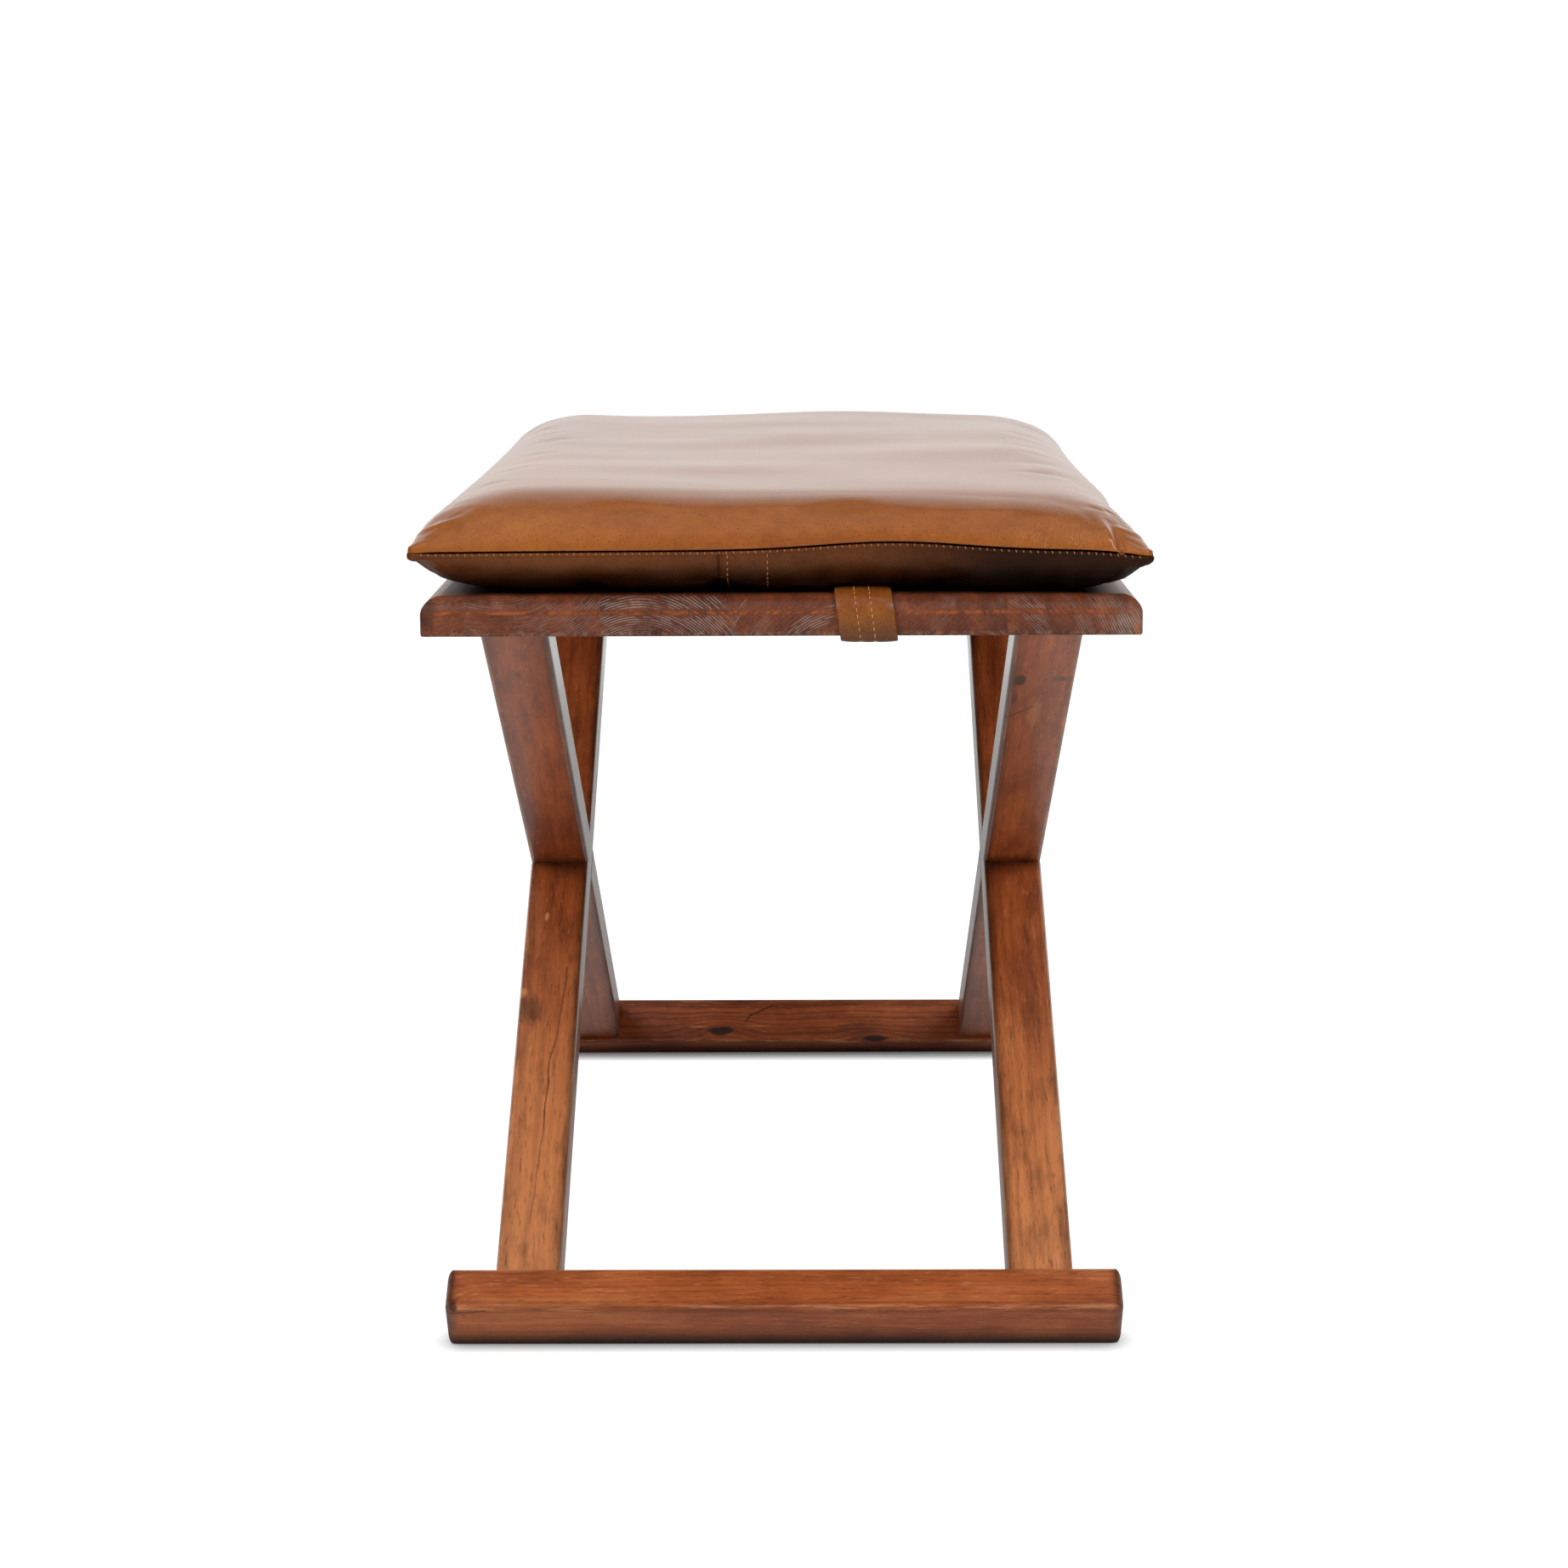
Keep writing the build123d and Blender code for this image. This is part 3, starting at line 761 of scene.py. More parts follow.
@dataclass
class CushionForm:
    """Outline and swell of the stuffed cushion.

    side_draw is how far its sides and ends are drawn in midway, and left_draw the same for its
    left side. crown_rise and base_drop are how far it stands above and below its seam, reached
    at crown_roll from the ends, side_roll from the sides and under_roll below. lip is the gap
    between its two panels at the seam, and welt how far the lower one bulges out next to it.
    """

    length: float = 0.714
    width: float = 0.411
    side_draw: float = 0.007
    left_draw: float = 0.0035
    seam_height: float = 0.4653
    crown_rise: float = 0.0300
    crown_roll: float = 0.0760
    side_roll: float = 0.0640
    base_drop: float = 0.0249
    under_roll: float = 0.0420
    lip: float = 0.0014
    welt: float = 0.0008

    def plan(self, u: float, v: float) -> tuple[float, float]:
        """Place of a point of the panel in plan, from its shares of the half sizes."""
        right = self.side_draw * (1.0 - v * v) + 0.0050 * bell(v + 0.60, 0.12) + 0.0042 * bell(v + 0.82, 0.13)
        x = u * (self.width / 2 - (right if u > 0.0 else self.left_draw * (1.0 - v * v)))
        y = v * (self.length / 2 - self.side_draw * (1.0 - u * u))
        blunt = 1.0 - 0.0055 * bell(Vector(((1.0 - abs(u)) * 0.2, (1.0 - abs(v)) * 0.36)).length, 0.0022)
        return x * blunt, y * blunt

    def insets(self, u: float, v: float) -> tuple[float, float]:
        """Distances in from the nearer side and the nearer end."""
        return (1.0 - abs(u)) * self.width / 2, (1.0 - abs(v)) * self.length / 2

    def to_ear(self, x: float, y: float) -> float:
        """Distance to the nearest corner."""
        return Vector((self.width / 2 - abs(x), self.length / 2 - abs(y))).length

    def lift(self, x: float, y: float) -> float:
        """How far the seam rises beside the strap at the front, and droops at the right ear."""
        rise = 0.0046 * bell(x - 0.062, 0.056) * (1.0 if y < 0.0 else 0.35)
        ear = Vector((self.width / 2 - x, self.length / 2 + y)).length
        return rise - 0.0028 * bell(ear, 0.022)

    def swell(self, insets: tuple[float, float], half: Half) -> float:
        """Share of the rise or drop that is reached, lower towards the ears."""
        top = half is Half.TOP
        rolls, power = ((self.side_roll, self.crown_roll), 2.2) if top else ((self.under_roll,) * 2, 2.0)
        ways = (min(max(inset, 0.0) / roll, 1.0) for inset, roll in zip(insets, rolls))
        across, along = (sqrt(1.0 - (1.0 - way) ** power) for way in ways)
        return across * along

    def pinch(self, x: float, y: float, half: Half) -> float:
        """How far the filling shrinks back from the ears."""
        front = self.length / 2 + y
        right, left = (exp(-Vector((self.width / 2 - to, front * 0.8)).length / 0.040) for to in (x, -x))
        if half is Half.UNDER:
            return 1.0 - 0.37 * left + 0.04 * right
        back = self.length / 2 - y
        back_right, back_left = (bell(Vector((self.width / 2 - to, back)).length, 0.050) for to in (x, -x))
        return 1.0 - 0.55 * right - 0.15 * left - 0.28 * back_right + 0.11 * back_left

    def fold(self, x: float, inset: float) -> float:
        """The pinched crease and its ridge beside the right front ear."""
        crease = bell(x - 0.1868 + inset * 0.10, 0.0022)
        ridge = bell(x - 0.1800 + inset * 0.10, 0.0042)
        return (ridge - 1.5 * crease) * 0.0034 * bell(inset, 0.017) * min(inset / 0.0015, 1.0)

    def undulation(self, x: float, y: float) -> float:
        """Soft hollows and swellings of the crown."""
        low = noise.noise(Vector((x * 7.0 + 3.1, y * 5.0 + 1.7, 0.3)))
        fine = noise.noise(Vector((x * 6.0 - y * 3.0 + 0.7, y * 11.0 + x * 3.0, 4.2)))
        back = min(max(y / self.length + 0.1, 0.0), 1.0)
        hump = 0.0042 * bell(x - 0.040, 0.060) - 0.0036 * bell(x + 0.100, 0.050)
        return 0.0024 * low + 0.0021 * fine - 0.0010 + back * (0.0048 * (1.0 - 2.6 * max(x, 0.0)) + hump)

    def pucker(self, x: float, y: float, insets: tuple[float, float]) -> float:
        """Small gathers that run in from the seam, strongest near the ears."""
        ear = exp(-self.to_ear(x, y) / 0.045)
        inset = min(insets)
        along = x if insets[1] < insets[0] else y
        ripple = noise.noise(Vector((along * 120.0 + inset * 40.0, inset * 25.0, 0.7 if y > 0 else 2.9)))
        fade = exp(-inset / 0.015) * min(inset / 0.003, 1.0)
        return ripple * fade * (0.0004 + 0.0016 * ear)

    def surface(self, u: float, v: float, half: Half) -> Vector:
        """A point on the leather.

        Args:
            u: Share of the half width, from -1 to 1.
            v: Share of the half length, from -1 to 1.
            half: Upper or lower half.

        Returns:
            The point.
        """
        x, y = self.plan(u, v)
        insets = self.insets(u, v)
        share = self.swell(insets, half) * self.pinch(x, y, half)
        ripple = self.pucker(x, y, insets) + half.value * self.knob(x, y, insets)
        if half is Half.TOP and y < 0.0:
            ripple += self.fold(x, insets[1])
        lip = self.lip / 2 * (1.0 - 0.85 * bell(self.to_ear(x, y), 0.009))
        seam = self.seam_height + self.lift(x, y) * (1.0 - share)
        if half is Half.TOP:
            rise = self.crown_rise + self.undulation(x, y) * min(min(insets) / 0.05, 1.0) - lip
            return Vector((x, y, seam + lip + share * rise + ripple))
        drop = self.base_drop - lip
        out = self.welt * sin(pi * min(share * drop / 0.0019, 1.0)) / (insets[0] + insets[1] + 1e-9)
        x += out * insets[1] * (1.0 if u > 0.0 else -1.0)
        y += out * insets[0] * (1.0 if v > 0.0 else -1.0)
        return Vector((x, y, seam - lip - share * drop + ripple * (1.0 - share)))

    def knob(self, x: float, y: float, insets: tuple[float, float]) -> float:
        """How far the leather of an ear stays plump right out to its tip."""
        return 0.0026 * bell(self.to_ear(x, y), 0.0075) * min(min(insets) / 0.0005, 1.0)


@dataclass
class Settling:
    """Cloth simulation that lets the leather settle over its filling.

    columns and rows are the cells of each half, and spare is how much larger than the filling
    the leather is. Only the small folds of the result are kept, so that the cushion's form stays
    as it was cut: cap is the longest move, reach is half the span of the mean that is taken
    away, and keep is the share that is left on each half. The folds fade out over the rim.
    """

    form: CushionForm
    columns: int = 56
    rows: int = 96
    spare: float = 0.024
    frames: int = 20
    cap: float = 0.0032
    reach: int = 4
    keep: tuple[float, float] = (0.34, 0.75)
    rim: float = 0.009
    moves: dict[Half, list[list[Vector]]] = field(default_factory=dict)

    def run(self) -> None:
        """Simulate, and keep how far each point of the leather moved."""
        for half in Half:
            self.moves[half] = [[Vector() for _ in range(self.columns + 1)] for _ in range(self.rows + 1)]
        holder, layers = self._shell()
        before = [vert.co.copy() for vert in holder.data.vertices]
        self._simulate(holder)
        after = holder.evaluated_get(bpy.context.evaluated_depsgraph_get()).to_mesh()
        for old, new, (halves, row, column) in zip(before, after.vertices, layers):
            move = new.co - old
            for half in halves:
                self.moves[half][row][column] = move * min(1.0, self.cap / max(move.length, 1e-9))
        bpy.data.objects.remove(holder, do_unlink=True)
        for half in Half:
            self._keep_folds(half)
        LOG.info("leather settled over %d frames", self.frames)

    def _shell(self) -> tuple[bpy.types.Object, list[tuple[tuple[Half, ...], int, int]]]:
        """Sew both halves into one closed shell, pinned at its seam and where it rests."""
        bm = bmesh.new()
        labels = [bm.verts.layers.int.new(name) for name in ("half", "row", "column")]
        for half in Half:
            for vert in half.grid(bm, self.columns, self.rows):
                u, v = (sin(share * pi / 2) for share in vert.co.xy)
                row = round((vert.co.y + 1.0) / 2 * self.rows)
                column = round((vert.co.x + 1.0) / 2 * self.columns)
                rim = row in (0, self.rows) or column in (0, self.columns)
                vert[labels[0]], vert[labels[1]], vert[labels[2]] = 0 if rim else half.value, row, column
                vert.co = self.form.surface(u, v, half)
                if rim:
                    vert.co.z = self.form.seam_height + self.form.lift(vert.co.x, vert.co.y)
        bmesh.ops.remove_doubles(bm, verts=bm.verts, dist=1e-6)
        bm.verts.index_update()
        halves = {0: tuple(Half), 1: (Half.TOP,), -1: (Half.UNDER,)}
        layers = [(halves[vert[labels[0]]], vert[labels[1]], vert[labels[2]]) for vert in bm.verts]
        base = self.form.seam_height - self.form.base_drop + 0.0006
        held = [vert.index for vert in bm.verts if vert[labels[0]] == 0 or vert.co.z < base]
        holder = linked("settling_shell", meshed("settling_shell", bm))
        holder.vertex_groups.new(name="held").add(held, 1.0, "REPLACE")
        return holder, layers

    def _simulate(self, holder: bpy.types.Object) -> None:
        """Run the cloth with a little spare leather and the filling's pressure."""
        cloth = holder.modifiers.new("settling", "CLOTH")
        values = {
            "quality": 7,
            "mass": 0.25,
            "tension_stiffness": 30.0,
            "compression_stiffness": 30.0,
            "shear_stiffness": 12.0,
            "bending_stiffness": 0.35,
            "air_damping": 4.0,
            "use_pressure": True,
            "uniform_pressure_force": 4.0,
            "shrink_min": -self.spare,
            "vertex_group_mass": "held",
        }
        for name, value in values.items():
            setattr(cloth.settings, name, value)
        cloth.settings.effector_weights.gravity = 0.0
        cloth.collision_settings.use_collision = False
        cloth.point_cache.frame_start, cloth.point_cache.frame_end = 1, self.frames
        for number in range(1, self.frames + 1):
            bpy.context.scene.frame_set(number)

    def _keep_folds(self, half: Half) -> None:
        """Take the slow part of the moves away, and leave the folds."""
        moves = self.moves[half]
        slow = moves
        for _ in range(2):
            slow = self._blurred(slow)
        for row in range(self.rows + 1):
            for column in range(self.columns + 1):
                u, v = (-cos(pi * at / cells) for at, cells in ((column, self.columns), (row, self.rows)))
                share = min(min(self.form.insets(u, v)) / self.rim, 1.0) * self.keep[half is Half.UNDER]
                moves[row][column] = (moves[row][column] - slow[row][column]) * share

    def _blurred(self, moves: list[list[Vector]]) -> list[list[Vector]]:
        """Running mean of the moves along both ways of the panel."""
        def mean(line: list[Vector]) -> list[Vector]:
            """Running mean of one line."""
            spans = (line[max(0, at - self.reach):at + self.reach + 1] for at in range(len(line)))
            return [sum(span, Vector()) / len(span) for span in spans]

        across = [mean(line) for line in moves]
        along = [mean(list(line)) for line in zip(*across)]
        return [list(line) for line in zip(*along)]

    def move(self, s: float, t: float, half: Half) -> Vector:
        """How far the leather moved at a place on the grid, between its points.

        Args:
            s: Place across, from -1 to 1 in even cells.
            t: Place along, from -1 to 1 in even cells.
            half: Upper or lower half.

        Returns:
            The move.
        """
        spots = ((s + 1.0) / 2 * self.columns, (t + 1.0) / 2 * self.rows)
        column, row = (min(int(spot), cells - 1) for spot, cells in zip(spots, (self.columns, self.rows)))
        shares = [eased(share) for share in (spots[0] - column, spots[1] - row)]
        near, far = self.moves[half][row], self.moves[half][row + 1]
        low = near[column].lerp(near[column + 1], shares[0])
        return low.lerp(far[column].lerp(far[column + 1], shares[0]), shares[1])


@dataclass
class Cushion:
    """Leather cushion: its panels, their stitching and the foam inside.

    columns and rows are the cells of a whole panel, and leather is its thickness. closure is
    where the lap of the underside starts, hem is how far it goes, and hem_rows are its rows of
    stitches, from the closure. hem_ends is where the rows end, in thousandths of the half
    length. turned is how far in and how far down each step of a panel's turned rim goes, on
    the sides that lie beyond rim_share of the half sizes. unstitched is the length that the
    seam's stitches leave free on each side, and covered is the share of their pitch that the
    hem's stitches cover. seam_thread and hem_thread are half the width and half the thickness of
    their thread. foam_cells are the foam's own cells, foam_room is how much smaller it is,
    foam_share how full, and foam_seam the gap over which its two halves are joined.
    """

    form: CushionForm
    settling: Settling
    body: str = "cushion"
    slot: str = "cushion_leather"
    columns: int = 150
    rows: int = 250
    leather: float = 0.0012
    closure: float = -0.034
    hem: float = 0.029
    hem_rows: tuple[float, float] = (0.0045, 0.0265)
    hem_ends: int = 985
    turned: tuple[tuple[float, float], ...] = ((0.0003, 0.00005), (0.0016, 0.00030), (0.0032, 0.00032))
    rim_share: float = 0.955
    stitch_pitch: float = 0.0040
    unstitched: float = 0.012
    covered: float = 0.62
    seam_thread: tuple[float, float] = (0.00028, 0.0003)
    hem_thread: tuple[float, float] = (0.00045, 0.00040)
    foam_room: float = 0.012
    foam_share: float = 0.84
    foam_cells: tuple[int, int] = (40, 60)
    foam_seam: float = 0.0013

    def leather_point(self, s: float, t: float, half: Half) -> Vector:
        """Point on the settled leather from its place on an even grid."""
        u, v = sin(s * pi / 2), sin(t * pi / 2)
        return self.form.surface(u, v, half) + self.settling.move(s, t, half)

    def panel(self, half: Half, left: float = -1.0, right: float = 1.0) -> bmesh.types.BMesh:
        """Shape one panel from a grid, and fold its edge in at the seam.

        Args:
            half: Upper or lower half of the cushion.
            left: Share of the half width where the panel starts.
            right: Share where it ends.

        Returns:
            The panel's mesh.
        """
        bm = bmesh.new()
        edges = [2 * asin(side) / pi for side in (left, right)]
        columns = round(self.columns * (edges[1] - edges[0]) / 2)
        rim = set()
        for vert in half.grid(bm, columns, self.rows):
            s = edges[0] + (vert.co.x + 1.0) / 2 * (edges[1] - edges[0])
            t = vert.co.y
            if max(abs(s), abs(t)) > 0.99999:
                rim.add(vert)
            vert.co = self.leather_point(s, t, half)
            if right < 1.0:
                tuck = self._tuck(vert.co.x)
                vert.co.z += tuck * self.form.swell(self.form.insets(0.0, sin(t * pi / 2)), half)
                vert.co.y *= 1.0 - tuck / self.form.length * 2
        self._fold(bm, rim, half)
        return bm

    def _tuck(self, x: float) -> float:
        """How far the left under panel dips beneath the right one's edge."""
        return 3.0 * MM * eased(min(max((x - self.closure + 2.0 * MM) / (2.8 * MM), 0.0), 1.0))

    def _fold(self, bm: bmesh.types.BMesh, rim: set[bmesh.types.BMVert], half: Half) -> None:
        """Turn the rim of a panel in between the two layers of leather."""
        edges = [edge for edge in bm.edges if edge.is_boundary and set(edge.verts) <= rim]
        for reach, drop in self.turned:
            grown = bmesh.ops.extrude_edge_only(bm, edges=edges)["geom"]
            fresh = {item for item in grown if isinstance(item, bmesh.types.BMVert)}
            edges = [edge for edge in bm.edges if set(edge.verts) <= fresh]
            for vert in fresh:
                shares = (vert.co.x / self.form.width * 2, vert.co.y / self.form.length * 2)
                inward = Vector([-part if abs(part) > self.rim_share else 0.0 for part in shares] + [0.0])
                vert.co += inward * reach - Vector((0.0, 0.0, half.value * drop))

    def build(self) -> None:
        """Make the cushion's pieces."""
        self.settling.run()
        hide = Hide("cushion_hide", gathers=(0.163, -0.349, 0.477)).material()
        # The underside's hide is a darker copy of the top's, which is painted shade, and it darkens downwards
        # and towards its right as painted shade too
        shaded = Hide(
            "cushion_under_shaded_hide",
            deep=(0.16, 0.040, 0.006),
            base=(0.22, 0.060, 0.009),
            pale=(0.28, 0.080, 0.013),
            gloss=0.25,
            darkening=(0.4610, 0.4475),
            far=(0.03, 0.13),
        ).material()
        closure, hem = (2 * place / self.form.width for place in (self.closure, self.closure + self.hem))
        panels = (
            ("top", self.panel(Half.TOP)),
            ("left_under", self.panel(Half.UNDER, right=hem)),
            ("right_under", self.panel(Half.UNDER, left=closure)),
        )
        for name, bm in panels:
            finish = hide if name == "top" else shaded
            made = piece(f"cushion_{name}_leather", bm, finish, self.body)
            wall = made.modifiers.new("leather thickness", "SOLIDIFY")
            wall.thickness = self.leather
            wall.offset = -1.0
            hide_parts(f"cushion_{name}_panel")
        thread = ThreadTone("seam_thread", (0.52, 0.27, 0.12)).material()
        piece("cushion_seam_stitching", self.seam_stitching(), thread, self.body)
        waxed = ThreadTone("hem_thread", (0.60, 0.21, 0.05)).material()
        piece("cushion_hem_stitching", self.hem_stitching(), waxed, self.body)
        core = piece("cushion_foam", self.foam(), Foam().material(), self.body)
        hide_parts("cushion_core")

    def seam_stitching(self) -> bmesh.types.BMesh:
        """Short stitches on the lower lip of the seam, all the way round."""
        bm = bmesh.new()
        ways = (Vector((1.0, 0.0, 0.0)), Vector((0.0, 1.0, 0.0)))
        above, below = Vector((0.0, 0.0, 0.0003)), Vector((0.0, 0.0, 0.0012))
        near, far, lean = 0.0001, 0.0009, 0.0003
        for axis, size in enumerate((self.form.width, self.form.length)):
            stitched = size - self.unstitched
            count = round(stitched / self.stitch_pitch)
            for side in (-1.0, 1.0):
                outward, slant = ways[1 - axis] * side, ways[axis] * lean
                for number in range(count):
                    share = ((number + 0.5) / count * stitched * 2 - stitched) / size
                    u, v = (share, side) if axis == 0 else (side, share)
                    spot = self.form.surface(u, v, Half.UNDER)
                    start = spot + outward * near - slant + above
                    stop = spot + outward * far + slant - below
                    stitch(bm, start, stop, *self.seam_thread)
        return bm

    def hem_stitching(self) -> bmesh.types.BMesh:
        """Two rows of stitches along the lapped hem, from end to end."""
        bm = bmesh.new()
        for offset in self.hem_rows:
            s = 2 * asin(2 * (self.closure + offset) / self.form.width) / pi
            places = range(-self.hem_ends, self.hem_ends + 1)
            marks = [self.leather_point(s, place / 1000, Half.UNDER) for place in places]
            travelled, start = 0.0, marks[0]
            for before, after in zip(marks, marks[1:]):
                travelled += (after - before).length
                if start is not None and travelled > self.covered * self.stitch_pitch:
                    stitch(bm, start, after, *self.hem_thread)
                    start = None
                elif travelled > self.stitch_pitch:
                    travelled, start = 0.0, after
        return bm

    def foam(self) -> bmesh.types.BMesh:
        """Shape the foam slab a little inside the leather."""
        bm = bmesh.new()
        inner = CushionForm(length=self.form.length - self.foam_room, width=self.form.width - self.foam_room)
        seam = inner.seam_height
        for half in Half:
            for vert in half.grid(bm, *self.foam_cells):
                point = inner.surface(sin(vert.co.x * pi / 2), sin(vert.co.y * pi / 2), half)
                vert.co = Vector((point.x, point.y, seam + (point.z - seam) * self.foam_share))
        bmesh.ops.remove_doubles(bm, verts=bm.verts, dist=self.foam_seam)
        return bm


@dataclass
class Frame:
    """The wooden frame: its staves, legs, rails, tenons and metal."""

    board: Stain = Stain(
        dark=(0.10, 0.025, 0.011),
        middle=(0.25, 0.062, 0.023),
        light=(0.43, 0.135, 0.055),
        wear_and_shade=(0.48, 0.26, 0.16),
        rubbed=(0.62, 0.15, 0.030),
        rough=0.42,
    )
    legs: Stain = Stain(
        dark=(0.24, 0.044, 0.010),
        middle=(0.54, 0.128, 0.028),
        light=(0.76, 0.240, 0.066),
        wear_and_shade=(0.86, 0.46, 0.24),
        rubbed=(0.92, 0.36, 0.13),
    )
    raw: Stain = Stain(
        dark=(0.33, 0.20, 0.10),
        middle=(0.48, 0.32, 0.17),
        light=(0.58, 0.42, 0.25),
        wear_and_shade=(0.6, 0.45, 0.28),
        rubbed=(0.6, 0.45, 0.28),
        rough=0.6,
    )

    def build(self) -> None:
        """Finish every wooden node and the metal."""
        self._staves()
        self._legs()
        self._rails()
        for name in ("foot_tenons", "seat_tenons"):
            # A metre each way keeps all wear off the tenons
            wood = StainedWood(
                name,
                self.raw,
                origin=(0.0, 0.0, 0.0),
                along=(0.0, 0.0, 1.0),
                across=(1.0, 0.0, 0.0),
                half_width=1.0,
                half_depth=1.0,
                half_length=1.0,
                pith=(0.06, 1.0),
            )
            dress(name, wood.material())
        brass = Brass().material()
        for name in ("strap_screws", "strap_washers"):
            dress(name, brass)

    def _staves(self) -> None:
        """Finish the board's staves, each with its own pith, silver and lift."""
        looks = (
            ((0.01, 0.06), 0.25, 0.02),
            ((0.02, 0.07), 0.40, -0.01),
            ((0.016, -0.045), 0.85, -0.05),
            ((-0.030, -0.050), 0.85, 0.00),
            ((0.050, 0.040), 0.30, -0.02),
            ((0.070, -0.050), 0.60, 0.01),
        )
        marks = {
            0: (Mark((-0.350, 0.0090, 0.002), 0.012, 0.0060, Kind.KNOT, 0.55),),
            5: (
                Mark((-0.350, -0.0345, -0.0105), 0.006, 0.0022, Kind.RUB, 0.6),
                Mark((-0.346, -0.0240, 0.004), 0.006, 0.0080, Kind.KNOT, 0.30),
                Mark((-0.350, -0.0310, -0.004), 0.010, 0.0100, Kind.SCUFF, 0.85),
            ),
        }
        for number, (pith, silver, lift) in enumerate(looks):
            right = SEAT_WIDTH / 2 - STAVE_WIDTH * (len(looks) - 1 - number)
            left = max(right - STAVE_WIDTH, -SEAT_WIDTH / 2)
            # The half width is more than a stave's, so that no wear is drawn at the glue lines
            wood = StainedWood(
                f"stave_{number + 1}_wood",
                self.board,
                origin=((left + right) / 2, 0.0, (SEAT_UNDERSIDE + SEAT_TOP) / 2),
                along=(0.0, 1.0, 0.0),
                across=(-1.0, 0.0, 0.0),
                half_width=SEAT_WIDTH,
                half_depth=(SEAT_TOP - SEAT_UNDERSIDE) / 2,
                half_length=SEAT_LENGTH / 2,
                pith=pith,
                rings=0.0024,
                seed=3.7 * number,
                silver=silver,
                lift=lift,
                marks=marks.get(number, ()),
            )
            dress(f"seat_stave_{number + 1}", wood.material())

    def _legs(self) -> None:
        """Finish the four legs, each in its own frame at the crossing."""
        front = -LEG_DEPTH / 2
        marks = {
            ("left", "back"): (
                Mark((-0.1535, -0.0120, front), 0.014, 0.0085, Kind.KNOT, 0.55),
                Mark((-0.1400, -0.0165, front), 0.005, 0.0035, Kind.RUB, 0.9),
                Mark((-0.0718, -0.0058, front), 0.004, 0.0014, Kind.RUB, 1.0),
                Split((-0.118, 0.0100), (-0.172, 0.0072), front, 0.0005, 0.0035, 0.50),
                Split((-0.172, 0.0072), (-0.202, 0.0030), front, 0.0005, 0.0035, 0.55),
                Split((-0.202, 0.0030), (-0.256, 0.0024), front, 0.0005, 0.0035, 0.55),
                Split((-0.256, 0.0024), (-0.330, -0.0015), front, 0.0005, 0.0035, 0.40),
            ),
            ("right", "front"): (
                Mark((0.3209, -0.0125, front), 0.009, 0.0045, Kind.KNOT, 0.95),
                Mark((0.2940, -0.0140, front), 0.010, 0.0025, Kind.KNOT, 0.6),
                Mark((0.2740, -0.0015, front), 0.024, 0.0050, Kind.RUB, 0.30),
                Split((0.266, -0.0175), (0.282, -0.0030), front, 0.0007, 0.002),
                Mark((0.3230, 0.0100, front), 0.004, 0.0060, Kind.KNOT, 0.5),
            ),
        }
        # Painted light: the legs rising to the back pale towards their lower ends, where the seat doesn't
        # shade them
        painted_lights = {("left", "back"): (-0.04, -0.35), ("right", "back"): (-0.08, -0.38)}
        for side_name, side in (("left", -1.0), ("right", 1.0)):
            for way_name, way in FRONT_AND_BACK:
                wood = StainedWood(
                    f"{side_name}_{way_name}_leg_wood",
                    self.legs,
                    origin=(side * LEG_OFFSET, 0.0, CROSSING_HEIGHT),
                    along=(0.0, way * cos(LEG_SLOPE), sin(LEG_SLOPE)),
                    across=(1.0, 0.0, 0.0),
                    half_width=LEG_THICKNESS / 2,
                    half_depth=LEG_DEPTH / 2,
                    half_length=LEG_SPAN / 2,
                    pith=(0.03 * side, 0.05),
                    seed=11.0 + 5.3 * side + 2.9 * way,
                    fade=painted_lights.get((side_name, way_name), NO_PAINTED_LIGHT),
                    lift=-0.030 if way < 0.0 else -0.005,
                    figure=0.34,
                    crease=LEG_CREASE,
                    inner=-side,
                    gloss=1.0,
                    marks=marks.get((side_name, way_name), ()),
                )
                dress(f"{side_name}_leg_rising_to_{way_name}", wood.material())

    def _rails(self) -> None:
        """Finish the two foot rails."""
        face = RAIL_HEIGHT / 2
        marks = {
            "front": (
                Mark((-0.1910, 0.0185, 0.0140), 0.0040, 0.0050, Kind.KNOT, 0.80, 0.40),
                Split((-0.194, 0.0130), (-0.172, 0.0150), face, 0.0006, 0.001, 0.6),
            ),
            "back": (
                Mark((-0.0526, -0.0082, face), 0.0135, 0.0062, Kind.KNOT, 0.92, 0.30),
                Mark((0.0668, -0.0147, face), 0.0110, 0.0037, Kind.KNOT, 0.92, 0.30),
                Mark((0.0560, -0.0060, face), 0.0200, 0.0080, Kind.KNOT, 0.35),
                Mark((-0.0700, -0.0050, face), 0.0090, 0.0009, Kind.RUB, 0.55),
                Mark((-0.0250, -0.0045, face), 0.0110, 0.0007, Kind.RUB, 0.45),
                Split((-0.0335, -0.0010), (-0.0300, 0.0040), face, 0.0007, 0.002, 0.8),
                Split((-0.0300, 0.0040), (-0.0130, 0.0118), face, 0.0006, 0.002),
                Split((-0.0130, 0.0118), (0.0020, 0.0090), face, 0.0005, 0.002, 0.6),
            ),
        }
        for name, end in FRONT_AND_BACK:
            wood = StainedWood(
                f"{name}_rail_wood",
                self.legs,
                origin=(0.0, end * RAIL_CENTRE[0], RAIL_CENTRE[1]),
                along=(1.0, 0.0, 0.0),
                across=(0.0, end * sin(LEG_SLOPE), cos(LEG_SLOPE)),
                half_width=RAIL_WIDTH / 2,
                half_depth=RAIL_HEIGHT / 2,
                half_length=RAIL_LENGTH / 2,
                pith=(0.030, 0.045),
                seed=23.0 + 7.7 * end,
                # The back rail is darker than the front one by its lift: painted shade under the seat
                lift=-0.025 - 0.042 * end,
                contrast=0.25 + 0.12 * end,
                tips=0.70,
                low_shade=0.79 - 0.14 * end,
                marks=marks[name],
            )
            dress(f"{name}_foot_rail", wood.material())


